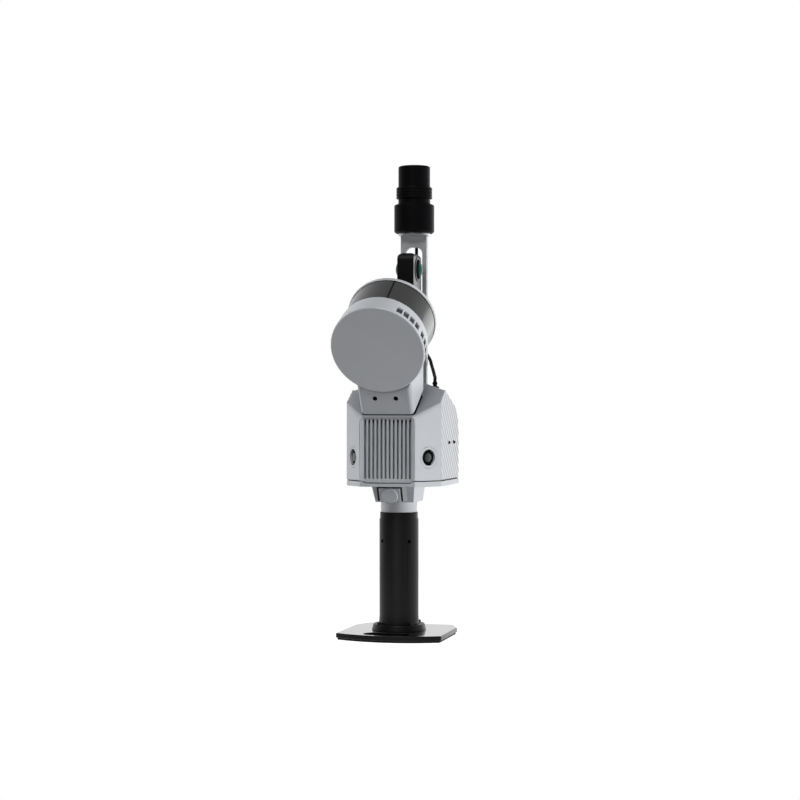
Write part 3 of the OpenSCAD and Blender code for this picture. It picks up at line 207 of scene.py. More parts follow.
def inlay(names, material, chosen):
    """Gives the faces of CAD nodes that a test of centre and normal chooses a further material."""
    for name in names:
        mesh = nodes[name].data
        mesh.materials.append(material)
        for face in mesh.polygons:
            if chosen(face.center, face.normal):
                face.material_index = len(mesh.materials) - 1


# Black anodised aluminium: deep black from above, and a pale sheen at a grazing angle. A dyed
# layer of oxide covers the metal, so the shine is that of the oxide, with its IOR.
anodised_black = finish_of("black_anodised_aluminium", ("#0C0C0D", "#101011"),
                           roughness=(0.08, 0.13), grain_mm=0.6, relief_mm=0.0004,
                           settings={"IOR": 1.65, "Coat Weight": 0.6, "Coat Roughness": 0.08})
dress(["base_plate"], anodised_black, edge_mm=0.8, steps=4)
# Milled anodised aluminium: the cut edges, duller than the top.
cut_edge = finish_of("milled_anodised_aluminium", ("#0A0A0B", "#0E0E0F"), roughness=(0.16, 0.22),
                     grain_mm=0.6, relief_mm=0.002, settings={"Specular IOR Level": 0.12})
upright = 0.5
inlay(["base_plate"], cut_edge, lambda centre, out: abs(out.z) < upright)
# Moulded rubber: dull dark grey.
pad_rubber = finish_of("moulded_rubber", ("#171717", "#1E1E1E"), roughness=(0.75, 0.9),
                       grain_mm=0.7, relief_mm=0.06, settings={"Specular IOR Level": 0.2})
dress(["base_pad"], pad_rubber)
# Turned steel: a plain grey shine with fine tool marks.
turned_steel = finish_of("turned_steel", ("#8E9094", "#9C9EA2"), roughness=(0.26, 0.42),
                         grain_mm=0.3, relief_mm=0.006, settings={"Metallic": 1.0})
dress(["tripod_insert"], turned_steel, edge_mm=0.2)


# Handle foot. A turned aluminium flange, sprayed black, on which the grip stands.
# Four socket screws of black steel hold it down on the base plate.

# Sprayed black paint: deep black with a soft dull shine.
black_paint = finish_of("sprayed_black_paint", ("#0C0C0D", "#111112"), roughness=(0.32, 0.42),
                        grain_mm=0.6, relief_mm=0.006, settings={"Specular IOR Level": 0.2})
dress(["foot_flange"], black_paint, edge_mm=0.6, steps=3)
# Black oxide steel: near-black with a dull shine.
black_oxide = finish_of("black_oxide_steel", ("#111112", "#19191A"), roughness=(0.4, 0.55),
                        grain_mm=0.3, relief_mm=0.01, settings={"Specular IOR Level": 0.3})
dress(["foot_screws"], black_oxide, edge_mm=0.2)


# Grip. A moulded sleeve of soft-touch black plastic over an aluminium core tube, held by four
# small set screws. The battery stands inside the tube.

# Soft-touch plastic: very dark, with a broad dull shine at the sides.
grip_plastic = finish_of("soft_touch_plastic", ("#0E0E0F", "#121213"), roughness=(0.36, 0.44),
                         grain_mm=0.9, relief_mm=0.015, settings={"Specular IOR Level": 0.22})
dress(["handle_grip"], grip_plastic, edge_mm=0.5, steps=3)
# Phosphated steel: dull black, for screw heads that give no shine; the same dull black is painted
# shade on the walls of screw holes.
dull_black_and_hole_shade = finish_of("phosphated_steel_and_hole_shade", ("#0A0A0B", "#0E0E0F"), roughness=(0.6, 0.75),
                       grain_mm=0.3, relief_mm=0.01, settings={"Specular IOR Level": 0.04})
dress(["grip_screws"], dull_black_and_hole_shade, edge_mm=0.15)
grip_hole_z, grip_hole_reach, grip_wall_lean = 0.1005, 0.0019, 0.3


def in_grip_hole(centre, out):
    """Whether a face of the grip is the wall of a screw hole, which doesn't look outwards."""
    outwards = abs(centre.x * out.x + centre.y * out.y)
    return (abs(centre.z - grip_hole_z) < grip_hole_reach
            and outwards < grip_wall_lean * math.hypot(centre.x, centre.y))


# Painted shade: the walls of the screw holes are dull black, without shine, for the shade in them.
inlay(["handle_grip"], dull_black_and_hole_shade, in_grip_hole)
# Drawn aluminium: pale satin metal.
bare_aluminium = finish_of("drawn_aluminium", ("#C2C4C7", "#CDCFD1"), roughness=(0.3, 0.42),
                           grain_mm=0.3, relief_mm=0.006, settings={"Metallic": 1.0})
dress(["handle_core"], bare_aluminium)
# Shrink film: glossy blue with faint creases, 6 mm apart.
battery_film = finish_of("shrink_film", ("#1F3F70", "#274A80"), roughness=(0.18, 0.34),
                         grain_mm=6, relief_mm=0.1)
dress(["battery_pack"], battery_film, edge_mm=0.8, steps=3)


# Collar, release block and press pad. Cast aluminium with a fine silver paint, which joins the
# grip to the body; the pad slides in a slot of the block against a steel spring.

# Sprayed silver paint: even light grey with fine flakes, dull enough to keep soft edges.
silver_paint = finish_of("sprayed_silver_paint", ("#B4B7BC", "#BBBEC2"), roughness=(0.44, 0.56),
                         grain_mm=0.5, relief_mm=0.012, settings={"Specular IOR Level": 0.35})
dress(["handle_collar", "release_button", "release_block"], silver_paint, edge_mm=0.5, steps=3)
frame_front, frame_back, frame_inside, frame_outside = -0.0262, -0.0185, 0.0138, 0.016
square_on, square_to_pad = 0.9, 0.99


def in_pad_frame(centre, out):
    """Whether a face of the block is on the front of the pad's frame or looks at the pad."""
    at_pad = (abs(out.x) > square_to_pad and abs(centre.x) < frame_inside
              and centre.y < frame_back)
    return out.x * centre.x <= 0 and (centre.y < frame_front or at_pad)


def on_frame_side(centre, out):
    """Whether a face of the block is on an outer side of the pad's frame."""
    return (out.x * centre.x > 0 and abs(out.x) > square_on
            and abs(centre.x) < frame_outside and centre.y < frame_back)


# Painted shade: the front of the pad's frame and the walls that look at the pad are a dull black,
# for the shade in the slot round the pad.
frame_gap_shade = finish_of("painted_slot_shade", ("#0D0D0E", "#121213"), roughness=(0.6, 0.75),
                         grain_mm=0.7, relief_mm=0.03, settings={"Specular IOR Level": 0.2})
inlay(["release_block"], frame_gap_shade, in_pad_frame)
# Painted shade: the outer sides of that frame are a darker, duller grey than the paint, for shade
# on them.
painted_frame_side_shade = finish_of("painted_frame_side_shade", ("#7E8083", "#868889"), roughness=(0.5, 0.62),
                        grain_mm=0.5, relief_mm=0.012, settings={"Specular IOR Level": 0.2})
inlay(["release_block"], painted_frame_side_shade, on_frame_side)
dress(["release_spring"], turned_steel, edge_mm=0.2)


# Bottom cover. A machined plate in the same silver paint, which closes the body from below with
# four countersunk steel screws. A black seal lies in the stepped joint with the shell.
dress(["bottom_cover"], silver_paint, edge_mm=0.35, steps=3)
# Extruded seal rubber: dull black, seen only as a thin line. The same black is painted shade in
# the side panels' screw holes and in the gap under the lidar mount.
seal_rubber_and_gap_shade = finish_of("extruded_seal_rubber_and_gap_shade", ("#0D0D0E", "#121213"), roughness=(0.7, 0.85),
                        grain_mm=0.5, relief_mm=0.02, settings={"Specular IOR Level": 0.15})
joint_low, joint_high = 0.1637, 0.1645
inlay(["bottom_cover"], seal_rubber_and_gap_shade,
      lambda centre, out: abs(out.z) < upright and joint_low < centre.z < joint_high)
dress(["bottom_screws"], turned_steel, edge_mm=0.15)


# Main shell. One cast aluminium housing in silver paint. Its corners between the slope, the
# chamfers and the roof are rounded by the mould; holes and joints keep crisp edges.
shell_width_mm, front_width_mm = 101.4, 58.4
chamfer_front_mm, chamfer_back_mm = 50, 22.2
chamfer_turn = math.atan2(chamfer_front_mm - chamfer_back_mm,
                          shell_width_mm / 2 - front_width_mm / 2)
slope_turn = math.radians(30)
roof_pitch = math.radians(20)
roof_fall = math.radians(26.5)
corner_radius, roof_radius, front_radius, foot_radius = 0.004, 0.002, 0.001, 0.0015
round_steps = 5
same_way = 0.999
slope_up = Vector((0, -math.sin(slope_turn), math.cos(slope_turn)))
roof_up = Vector((0, math.sin(roof_pitch), math.cos(roof_pitch)))
front_out = Vector((0, -1, 0))
below = Vector((0, 0, -1))
corner_pairs, roof_pairs, front_pairs, foot_pairs = [], [(slope_up, roof_up)], [], []
for side in (-1, 1):
    side_out = Vector((side, 0, 0))
    chamfer_out = Vector((side * math.sin(chamfer_turn), -math.cos(chamfer_turn), 0))
    roof_side = Vector((side * math.sin(roof_fall), math.cos(roof_fall) * math.sin(roof_pitch),
                        math.cos(roof_fall) * math.cos(roof_pitch)))
    corner_pairs.append((slope_up, chamfer_out))
    roof_pairs += [(slope_up, roof_side), (roof_up, roof_side)]
    front_pairs.append((front_out, chamfer_out))
    foot_pairs += [(chamfer_out, below), (side_out, below)]


def joins(edge, one, two):
    """Whether an edge lies between two faces that look in the two directions."""
    if len(edge.link_faces) != 2:
        return False
    left, right = [face.normal for face in edge.link_faces]
    return ((left.dot(one) > same_way and right.dot(two) > same_way)
            or (left.dot(two) > same_way and right.dot(one) > same_way))


casting = bmesh.new()
casting.from_mesh(nodes["main_shell"].data)
bmesh.ops.remove_doubles(casting, verts=casting.verts, dist=weld_gap)
bmesh.ops.dissolve_limit(casting, angle_limit=flat_turn, verts=casting.verts, edges=casting.edges)
casting.normal_update()
for radius, pairs in ((corner_radius, corner_pairs), (roof_radius, roof_pairs),
                      (front_radius, front_pairs), (foot_radius, foot_pairs)):
    chosen = [edge for edge in casting.edges if any(joins(edge, *pair) for pair in pairs)]
    bmesh.ops.bevel(casting, geom=chosen, offset=radius, offset_type="OFFSET",
                    segments=round_steps, profile=0.5, affect="EDGES", clamp_overlap=False)
    casting.normal_update()
shell_mesh = bpy.data.meshes.new("main_shell_casting")
casting.to_mesh(shell_mesh)
casting.free()
shell = piece_of("main_shell_casting", shell_mesh, silver_paint)
soften(shell, edge_mm=0.3, steps=2)
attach(shell, "scanner")
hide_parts("main_shell")


# Heat sink. A milled aluminium block in the front of the shell with twelve upright grooves,
# painted with the body. It carries the heat of the computing module to the air.
dress(["heat_sink"], silver_paint, edge_mm=0.45, steps=3)
groove_front = -0.0477


def in_groove(centre, out):
    """Whether a face of the heat sink is the side or the floor of a groove."""
    return centre.y > groove_front and (abs(out.x) > square_on or out.y < -square_on)


# Painted shade: the sides and floors of the grooves are a shade darker and duller than the paint,
# for the shade in them.
groove_shade_paint = finish_of("painted_groove_shade", ("#A2A4A8", "#A8AAAD"),
                           roughness=(0.45, 0.55), grain_mm=0.5, relief_mm=0.006,
                           settings={"Specular IOR Level": 0.3})
inlay(["heat_sink"], groove_shade_paint, in_groove)


# Side panels. Thin moulded covers with diagonal ridges, in a silver paint made paler as painted
# light, each held by two small black screws and set in a dark gap of the shell.
panels = ["left_side_panel", "right_side_panel"]
# Painted light: the body's silver a shade lighter, for light falling on the panels from behind.
panel_paint_with_painted_light = finish_of("pale_silver_with_painted_light", ("#C6C8CB", "#CDCFD2"), roughness=(0.46, 0.58),
                        grain_mm=0.5, relief_mm=0.012, settings={"Specular IOR Level": 0.35})
dress(panels, panel_paint_with_painted_light, edge_mm=0.08, steps=1)
# Painted shade: the short steps of the ridges are a duller grey, for the shade on them.
painted_step_shade = finish_of("painted_ridge_step_shade", ("#A6A8AB", "#ADAFB2"), roughness=(0.5, 0.62),
                       grain_mm=0.5, relief_mm=0.012, settings={"Specular IOR Level": 0.2})
# The steps are turned a little further from the side than the ridges.
step_turned, step_square = 0.93, 0.97
inlay(panels, painted_step_shade, lambda centre, out: step_turned < abs(out.x) < step_square)
panel_screw_z, panel_screw_ys = 0.203, (0.0135, 0.0375)
panel_hole_reach, panel_wall_lean = 0.0024, 0.1


def in_panel_hole(centre, out):
    """Whether a face of a side panel is the wall of a screw hole."""
    gap = min(math.hypot(centre.y - y, centre.z - panel_screw_z) for y in panel_screw_ys)
    return abs(out.x) < panel_wall_lean and gap < panel_hole_reach


# Painted shade: the walls of the screw holes are black, for the shade in them.
inlay(panels, seal_rubber_and_gap_shade, in_panel_hole)
dress(["panel_screws"], dull_black_and_hole_shade, edge_mm=0.1)


# Panel screw caps. The turned socket heads of the side panels' black steel screws, with a socket
# in the middle. They stand a little above the ridges.
panel_face = 0.0507
cap_profile = [(0, 0.0002), (0.0006, 0.0002), (0.0006, 0.0014),
               (0.0011, 0.0014), (0.0014, 0.0011), (0.0014, -0.0012)]
cap_sides = 20
cap_turns = [2 * math.pi * i / cap_sides for i in range(cap_sides)]
caps = bmesh.new()
for side in (-1, 1):
    for y in panel_screw_ys:
        rings = [[caps.verts.new((side * (panel_face + rise), y + radius * math.cos(turn),
                                  panel_screw_z + radius * math.sin(turn)))
                  for turn in cap_turns] for radius, rise in cap_profile]
        for inner, outer in zip(rings, rings[1:]):
            for i in range(cap_sides):
                j = (i + 1) % cap_sides
                caps.faces.new((inner[i], outer[i], outer[j], inner[j]))
bmesh.ops.remove_doubles(caps, verts=caps.verts, dist=weld_gap)
bmesh.ops.recalc_face_normals(caps, faces=caps.faces)
caps_mesh = bpy.data.meshes.new("panel_screw_caps")
caps.to_mesh(caps_mesh)
caps.free()
screw_caps = piece_of("panel_screw_caps", caps_mesh, dull_black_and_hole_shade)
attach(screw_caps, "scanner")


# Navigation cameras. A painted bezel ring in each chamfer holds a black barrel with a coated glass
# dome; a black gasket lines the bezel, and the camera's box sits behind it in the shell.
bezels = ["left_camera_bezel", "right_camera_bezel"]
domes = ["left_camera_lens", "right_camera_lens"]
bezel_wall, bezel_back, dome_edge = 0.5, 0.7, 0.975


def facing(out):
    """How squarely a normal looks out of the chamfer on its side."""
    return abs(out.x) * math.sin(chamfer_turn) - out.y * math.cos(chamfer_turn)


dress(bezels, silver_paint, edge_mm=0.35, steps=3)
inlay(bezels, seal_rubber_and_gap_shade,
      lambda centre, out: abs(facing(out)) < bezel_wall or out.y > bezel_back)
# Moulded black plastic: dull housing.
black_plastic = finish_of("moulded_black_plastic", ("#121213", "#171718"), roughness=(0.5, 0.65),
                          grain_mm=0.7, relief_mm=0.03, settings={"Specular IOR Level": 0.3})
dress(["left_camera_module", "right_camera_module"], black_plastic)
# Coated glass: dark grey with a strong soft reflection. The dome's edge is blackened from behind.
coated_glass = finish_of("coated_glass", ("#27292B", "#2F3133"), roughness=(0.18, 0.22),
                         grain_mm=2, relief_mm=0.0003, settings={"IOR": 1.8})
dress(domes, coated_glass, edge_mm=0.1)
inlay(domes, dull_black_and_hole_shade, lambda centre, out: facing(out) < dome_edge)


# Electronics. A main board stands on posts of the bottom cover and carries the finned computing
# module, the storage module and the inertial unit. None of it shows with the body closed.

# Solder mask: green, with copper tracks under it as faint lighter patches 3 mm across.
solder_mask = finish_of("solder_mask", ("#12452C", "#1F6A44"), roughness=(0.25, 0.4),
                        grain_mm=1.2, relief_mm=0.02, spread_mm=3)
dress(["main_board", "storage_module"], solder_mask, edge_mm=0.1)
dress(["computing_module", "inertial_unit"], bare_aluminium)


# Rear ports. A moulded black panel with two round sockets, set into the rear face.
# A rubber flap covers them and hinges on a steel pin.
dress(["port_panel", "port_sockets"], black_plastic, edge_mm=0.2)
# Moulded flap rubber: dark grey, dull, with a fine texture.
flap_rubber = finish_of("moulded_flap_rubber", ("#161617", "#1C1C1D"), roughness=(0.6, 0.75),
                        grain_mm=0.8, relief_mm=0.05, settings={"Specular IOR Level": 0.25})
dress(["port_cover"], flap_rubber, edge_mm=0.5, steps=3)
dress(["cover_pin"], turned_steel, edge_mm=0.1)


# Power button. A moulded black cap in the rear face, pressed in by a finger.
# A frosted ring round it guides the status light.
dress(["power_button"], black_plastic, edge_mm=0.6, steps=3)
# Frosted acrylic: milky, faintly green.
frosted_acrylic = finish_of("frosted_acrylic", ("#B4D8C6", "#C2E4D3"), roughness=(0.3, 0.42),
                            grain_mm=1, relief_mm=0.02,
                            settings={"Subsurface Weight": 0.3,
                                      "Subsurface Radius": (0.002, 0.002, 0.002)})
dress(["status_ring"], frosted_acrylic, edge_mm=0.2)


# Lidar mount. A machined aluminium saddle on the slope, in silver paint, which carries the lidar
# on a back plate; two black screws sit deep in its front.
dress(["lidar_mount"], silver_paint, edge_mm=0.6, steps=3)
dress(["mount_screws"], dull_black_and_hole_shade, edge_mm=0.15)
lidar_middle, lidar_tilt = (0, -0.0895, 0.2972), math.radians(-60)
lidar_place = Matrix.Translation(lidar_middle) @ Matrix.Rotation(lidar_tilt, 4, "X")
mount_hole_x, mount_hole_y, mount_hole_reach = 0.011, 0.058, 0.0023


def in_mount_hole(centre, out):
    """Whether a face of the mount lies in one of its two screw holes."""
    spot = lidar_place.inverted() @ centre
    return math.hypot(abs(spot.x) - mount_hole_x, spot.y - mount_hole_y) < mount_hole_reach


# Painted shade: the walls of the two screw holes are black and without shine, for the shade in
# them.
inlay(["lidar_mount"], dull_black_and_hole_shade, in_mount_hole)


# Mount gap shade. A sheet in the seal's dull black, cut with round corners, fills the narrow gap
# between the lidar mount and the slope as painted shade.
shade_sheet_half, shade_sheet_from, shade_sheet_to, shade_sheet_round = 0.0284, 0.0757, 0.118, 0.005
shade_sheet_low, shade_sheet_high = 0.22403, 0.22518
corner_steps = 6
slope_run = Vector((0, math.cos(slope_turn), math.sin(slope_turn)))


def mesh_of(name, points, faces):
    """A mesh of the given points and faces."""
    mesh = bpy.data.meshes.new(name)
    mesh.from_pydata(points, [], faces)
    return mesh


shade_sheet_outline = []
for side, at_top, first_turn in ((1, True, 0), (-1, True, 90), (-1, False, 180), (1, False, 270)):
    corner_x = side * (shade_sheet_half - shade_sheet_round)
    corner_run = shade_sheet_to - shade_sheet_round if at_top else shade_sheet_from + shade_sheet_round
    for i in range(corner_steps + 1):
        turn = math.radians(first_turn + 90 * i / corner_steps)
        shade_sheet_outline.append((corner_x + shade_sheet_round * math.cos(turn),
                               corner_run + shade_sheet_round * math.sin(turn)))
rim = len(shade_sheet_outline)
shade_sheet_points = [Vector((x, 0, 0)) + slope_run * run + slope_up * level
                 for level in (shade_sheet_low, shade_sheet_high) for x, run in shade_sheet_outline]
shade_sheet_faces = [tuple(reversed(range(rim))), tuple(range(rim, 2 * rim))]
shade_sheet_faces += [(i, (i + 1) % rim, rim + (i + 1) % rim, rim + i) for i in range(rim)]
shade_sheet = piece_of("mount_gap_shade", mesh_of("mount_gap_shade", shade_sheet_points, shade_sheet_faces),
                  seal_rubber_and_gap_shade)
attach(shade_sheet, "scanner")


# Lidar. An aluminium cap with vents in front, a dark window around the spinning rotor, and a base
# ring behind; the parts are stacked on a fixed shaft.

# Sprayed cap paint: the silver of the body, a little brighter.
cap_paint = finish_of("sprayed_cap_paint", ("#B8BBC0", "#BFC2C6"), roughness=(0.42, 0.52),
                      grain_mm=0.5, relief_mm=0.01)
dress(["lidar_cap", "lidar_base"], cap_paint, edge_mm=0.5, steps=3)
# Smoked polycarbonate: closed to visible light, nearly black, with a smooth satin shine.
smoked_window = finish_of("smoked_polycarbonate", ("#0B0C0D", "#0E0F10"), roughness=(0.2, 0.24),
                          grain_mm=3, relief_mm=0.0004)
dress(["lidar_window"], smoked_window)
dress(["lidar_base_screws", "lidar_shaft", "lidar_bearings"], turned_steel, edge_mm=0.15)
# Matt black plastic: dull against stray light.
rotor_plastic = finish_of("matt_black_plastic", ("#101011", "#151516"), roughness=(0.6, 0.75),
                          grain_mm=0.6, relief_mm=0.03)
dress(["lidar_rotor"], rotor_plastic)
# Enamelled copper: a warm shine along the wound wire, 0.5 mm thick.
enamelled_copper = finish_of("enamelled_copper", ("#8A4A22", "#A4602F"), roughness=(0.28, 0.42),
                             grain_mm=0.5, relief_mm=0.08, settings={"Metallic": 1.0})
dress(["lidar_stator"], enamelled_copper)


# Window seal. A thin ring of black rubber, bonded to the rear edge of the lidar's window, and the
# bonded seam along it where the window's two ends meet.
window_from, window_to, window_front_r, window_back_r = 0.026, 0.066, 0.0448, 0.0458
seal_width, seal_rise, seal_sunk, seal_slant, seal_sides = 0.0013, 0.00012, 0.0004, 0.0001, 180
seam_turn, seam_width, seam_sunk, seam_flat = math.radians(12), 0.0022, 0.0002, 0.8


def on_lidar(radius, turn, along):
    """A point at a radius, a turn and a length along the lidar's axis, in the scanner's frame."""
    return lidar_place @ Vector((radius * math.sin(turn), -radius * math.cos(turn), along))


seal_from = window_to - seal_width
seal_section = [(window_back_r - seal_sunk, seal_from),
                (window_back_r + seal_rise, seal_from + seal_slant),
                (window_back_r + seal_rise, window_to - seal_slant)]
seam_section = [(-1, -seam_sunk), (-seam_flat, seal_rise), (seam_flat, seal_rise), (1, -seam_sunk)]
ring_count, seam_count = len(seal_section), len(seam_section)
seal_points, seal_faces = [], []
for i in range(seal_sides):
    turn = 2 * math.pi * i / seal_sides
    seal_points += [on_lidar(radius, turn, along) for radius, along in seal_section]
    a, b = ring_count * i, ring_count * ((i + 1) % seal_sides)
    seal_faces += [(a + k, a + k + 1, b + k + 1, b + k) for k in range(ring_count - 1)]
first = len(seal_points)
for along, radius in ((window_from + seal_slant, window_front_r), (seal_from, window_back_r)):
    for side, rise in seam_section:
        turn = seam_turn + side * seam_width / 2 / radius
        seal_points.append(on_lidar(radius + rise, turn, along))
seal_faces += [(a, a + seam_count, a + seam_count + 1, a + 1)
               for a in range(first, first + seam_count - 1)]
window_seal = piece_of("window_seal", mesh_of("window_seal", seal_points, seal_faces), seal_rubber_and_gap_shade)
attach(window_seal, "scanner")


# Vent screens. A louvred sheet of dark grey plastic behind each vent in the lidar cap's rim,
# moulded with five slats and clipped to the floor of the vent.
vent_groups, vent_count, vent_start, vent_step, vent_skip = 3, 4, 33.5, 9.6, 13.3
vent_floor, vent_width, vent_from, vent_length = 0.046, 0.0061, 0.004, 0.011
slat_count, slat_rise, screen_gap = 5, 0.0009, 0.0001
slat_pitch = (vent_length - 2 * screen_gap) / slat_count
group_turn = (vent_count - 1) * vent_step + vent_skip
screen_half = vent_width / 2 - screen_gap
screen_points, screen_faces = [], []
for group in range(vent_groups):
    for i in range(vent_count):
        turn = math.radians(vent_start + i * vent_step + group * group_turn)
        place = lidar_place @ Matrix.Rotation(turn, 4, "Z")
        for k in range(slat_count):
            low = vent_from + screen_gap + k * slat_pitch
            high = low + slat_pitch
            first = len(screen_points)
            for x in (-screen_half, screen_half):
                for depth, z in ((screen_gap, low), (slat_rise, low), (screen_gap, high)):
                    screen_points.append(place @ Vector((x, -vent_floor - depth, z)))
            a, b, c, d, e, f = range(first, first + 6)
            screen_faces += [(a, b, c), (d, f, e), (a, d, e, b), (b, e, f, c), (a, c, f, d)]
# Moulded grey plastic: dark and dull.
grey_plastic = finish_of("moulded_grey_plastic", ("#565759", "#5F6062"), roughness=(0.5, 0.65),
                         grain_mm=0.6, relief_mm=0.02)
screens = piece_of("vent_screens", mesh_of("vent_screens", screen_points, screen_faces),
                   grey_plastic)
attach(screens, "scanner")


# Mast. An aluminium plate, screwed to the rear face, with an arched window and a small shelf for
# the panoramic camera. Its faces are anodised, and its cut edges are painted with the body.

# Satin anodised aluminium: bare metal that mirrors the dark head in front of it as a soft shade.
satin_anodised = finish_of("satin_anodised_aluminium", ("#C6C8CB", "#CDCFD2"),
                           roughness=(0.4, 0.48), grain_mm=0.4, relief_mm=0.006,
                           settings={"Metallic": 1.0})
dress(["mast_bracket"], satin_anodised, edge_mm=0.5, steps=3)
mast_edge = 0.5
inlay(["mast_bracket"], silver_paint, lambda centre, out: abs(out.x) > mast_edge)
dress(["mast_screws"], turned_steel, edge_mm=0.2)


# Antenna. A helix antenna in a black housing with a ribbed band, on a bright aluminium flange; its
# gold-plated connector takes the lead behind the mast.
dress(["antenna_flange"], bare_aluminium)
# Satin black plastic: moulded, very dark, with a weak broad shine.
antenna_plastic = finish_of("satin_black_plastic", ("#08080A", "#0D0D0E"), roughness=(0.36, 0.46),
                            grain_mm=0.8, relief_mm=0.01, settings={"Specular IOR Level": 0.05})
dress(["antenna_base", "antenna_band", "antenna_radome"], antenna_plastic, edge_mm=0.4, steps=3)
# Gold plate: warm polished metal.
gold_plate = finish_of("gold_plate", ("#C9A45A", "#D6B46C"), roughness=(0.18, 0.3),
                       grain_mm=0.4, relief_mm=0.005, settings={"Metallic": 1.0})
dress(["antenna_connector", "antenna_socket"], gold_plate, edge_mm=0.2)
dress(["lead_plug"], jacket_rubber, edge_mm=0.4, steps=3)


# Panoramic camera. A slim black camera with a domed lens on each side, screwed to the mast's shelf
# from below, with a shutter button on its right face.

# Smooth black plastic: satin, nearly without grain.
camera_plastic = finish_of("smooth_black_plastic", ("#0A0A0B", "#0E0E0F"), roughness=(0.34, 0.44),
                           grain_mm=0.8, relief_mm=0.008, settings={"Specular IOR Level": 0.12})
dress(["pano_body"], camera_plastic, edge_mm=0.6, steps=3)
# Painted reflection: the camera's two sides, round the lenses, are grey for the pale sheen of
# their black gloss at a grazing angle.
painted_side_sheen = finish_of("painted_grey_side_sheen", ("#67686A", "#707173"), roughness=(0.4, 0.5),
                       grain_mm=0.6, relief_mm=0.01, settings={"Specular IOR Level": 0.3})
camera_side, lens_ring = 0.95, 0.82
inlay(["pano_body"], painted_side_sheen, lambda centre, out: abs(out.x) > camera_side)
dress(["pano_button"], black_plastic, steps=3)
dress(["pano_screw"], turned_steel, edge_mm=0.4)
# Green coated glass: dark, with green in its reflections. Each dome has a black ring at its edge.
lens_glass = finish_of("green_coated_glass", ("#062C22", "#093A2D"), roughness=(0.3, 0.36),
                       grain_mm=2, relief_mm=0.0003,
                       settings={"IOR": 1.4, "Specular Tint": linear("#5FD8BC")})
dress(["pano_lenses"], lens_glass, edge_mm=0.1)
inlay(["pano_lenses"], dull_black_and_hole_shade, lambda centre, out: abs(out.x) < lens_ring)


# Floor. The scanner stands on a sheet of white paper. To the camera, and in metal and glass, the
# paper is nearly as white as the backdrop, and it still takes the scanner's shadow.
floor_half, floor_front, floor_back = 0.35, -0.3, 0.6
paper_lift = 0.92
white = linear("#FFFFFF")
# White paper: matt, without shine.
paper = finish_of("white_paper", ("#B0B0B0", "#B4B4B4"), roughness=(0.8, 0.9), grain_mm=2,
                  relief_mm=0.02, settings={"Specular IOR Level": 0.0, "Emission Color": white})
tree = paper.node_tree
seen = add(tree, "LightPath")
mirrored = add(tree, "Math", {"operation": "MAXIMUM"},
               {0: seen.outputs["Is Glossy Ray"], 1: seen.outputs["Is Transmission Ray"]})
shown = add(tree, "Math", {"operation": "MAXIMUM"},
            {0: seen.outputs["Is Camera Ray"], 1: mirrored.outputs[0]})
lift = add(tree, "Math", {"operation": "MULTIPLY", 1: paper_lift}, {0: shown.outputs[0]})
tree.links.new(lift.outputs[0], tree.nodes["Principled BSDF"].inputs["Emission Strength"])
floor_points = [(-floor_half, floor_front, 0), (floor_half, floor_front, 0),
                (floor_half, floor_back, 0), (-floor_half, floor_back, 0)]
floor = piece_of("floor", mesh_of("floor", floor_points, [(0, 1, 2, 3)]), paper)


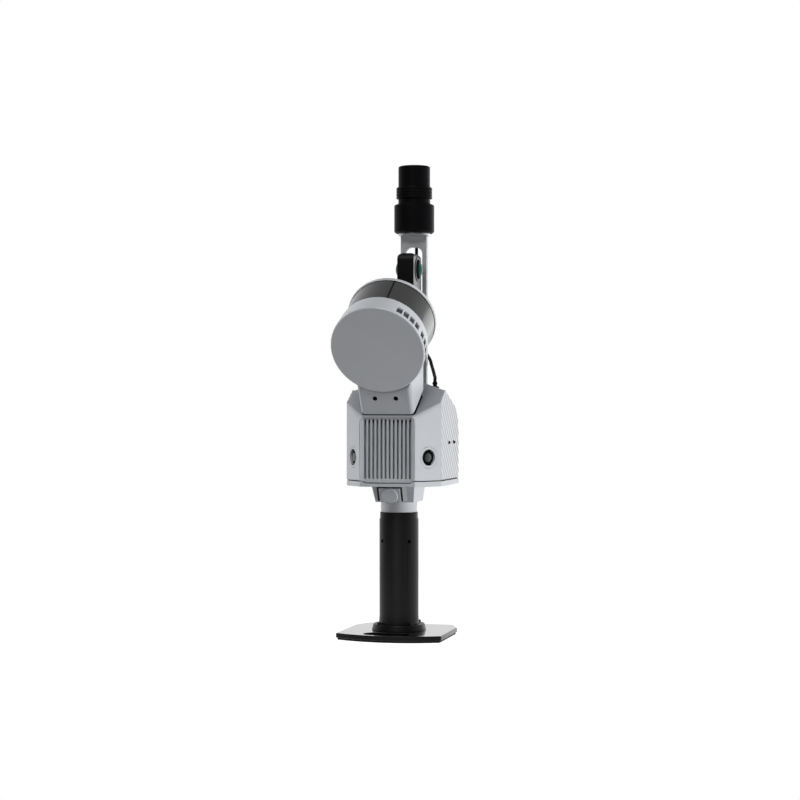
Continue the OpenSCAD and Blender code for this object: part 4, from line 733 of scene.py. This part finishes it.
# Backdrop. White to the camera and through glass. Glossy surfaces mirror it behind the scanner,
# the dark room in front and the dimmer ceiling; on dull surfaces it falls as a weak light from
# behind.
room_dark, room_front, room_back = 0.08, -0.5, 0.6
ceiling_dim, ceiling_from, ceiling_to = 0.65, 0.3, 0.85
dull_share = 0.15
world = bpy.data.worlds.new("studio")
world.use_nodes = True
tree = world.node_tree
seen = add(tree, "LightPath")
toward = add(tree, "SeparateXYZ", links={"Vector": add(tree, "TexCoord").outputs["Generated"]})
room = add(tree, "MapRange", {"interpolation_type": "SMOOTHSTEP", "From Min": room_front,
                              "From Max": room_back, "To Min": room_dark, "To Max": 1.0},
           {"Value": toward.outputs["Y"]})
share = add(tree, "MapRange", {"To Min": dull_share, "To Max": 1.0},
            {"Value": seen.outputs["Is Glossy Ray"]})
ceiling = add(tree, "MapRange", {"interpolation_type": "SMOOTHSTEP", "From Min": ceiling_from,
                                 "From Max": ceiling_to, "To Min": 1.0, "To Max": ceiling_dim},
              {"Value": toward.outputs["Z"]})
wall = add(tree, "Math", {"operation": "MULTIPLY"}, {0: room.outputs[0], 1: ceiling.outputs[0]})
falling = add(tree, "Math", {"operation": "MULTIPLY"}, {0: wall.outputs[0], 1: share.outputs[0]})
shown = add(tree, "Math", {"operation": "MAXIMUM"},
            {0: seen.outputs["Is Camera Ray"], 1: seen.outputs["Is Transmission Ray"]})
level = add(tree, "MapRange", {"To Max": 1.0},
            {"Value": shown.outputs[0], "To Min": falling.outputs[0]})
background = tree.nodes["Background"]
background.inputs["Color"].default_value = white
tree.links.new(level.outputs[0], background.inputs["Strength"])
scene.world = world


# Soft boxes. The key hangs in front, above the camera, with a weak fill below it. One stands on
# each side, the right one brighter, both screened so that no shiny surface mirrors them. A small
# one behind, to the right, lights the edges.
box_distance = 2.4
scanner_middle = Vector((0, 0, 0.25))


def soft_box(name, azimuth, elevation, size, power, screened=False):
    """A rectangular soft light, turned to the scanner's middle; no mirror shows a screened one."""
    turn, rise = math.radians(azimuth), math.radians(elevation)
    toward = Vector((math.sin(turn) * math.cos(rise), -math.cos(turn) * math.cos(rise),
                     math.sin(rise)))
    light = bpy.data.lights.new(name, "AREA")
    light.shape = "RECTANGLE"
    light.size, light.size_y = size
    light.energy = power
    lamp = bpy.data.objects.new(name, light)
    lamp.location = scanner_middle + toward * box_distance
    lamp.rotation_euler = (-toward).to_track_quat("-Z", "Y").to_euler()
    lamp.visible_glossy = not screened
    scene.collection.objects.link(lamp)


soft_box("key_soft_box", azimuth=0, elevation=52, size=(1.2, 1.9), power=38)
soft_box("fill_soft_box", azimuth=0, elevation=-12, size=(1.6, 0.8), power=4.5)
soft_box("right_soft_box", azimuth=86, elevation=-10, size=(1.6, 0.9), power=61, screened=True)
soft_box("left_soft_box", azimuth=-92, elevation=0, size=(1.6, 0.9), power=41, screened=True)
soft_box("rim_soft_box", azimuth=157, elevation=7, size=(1.1, 1.0), power=5)

scene.view_settings.view_transform = "Standard"
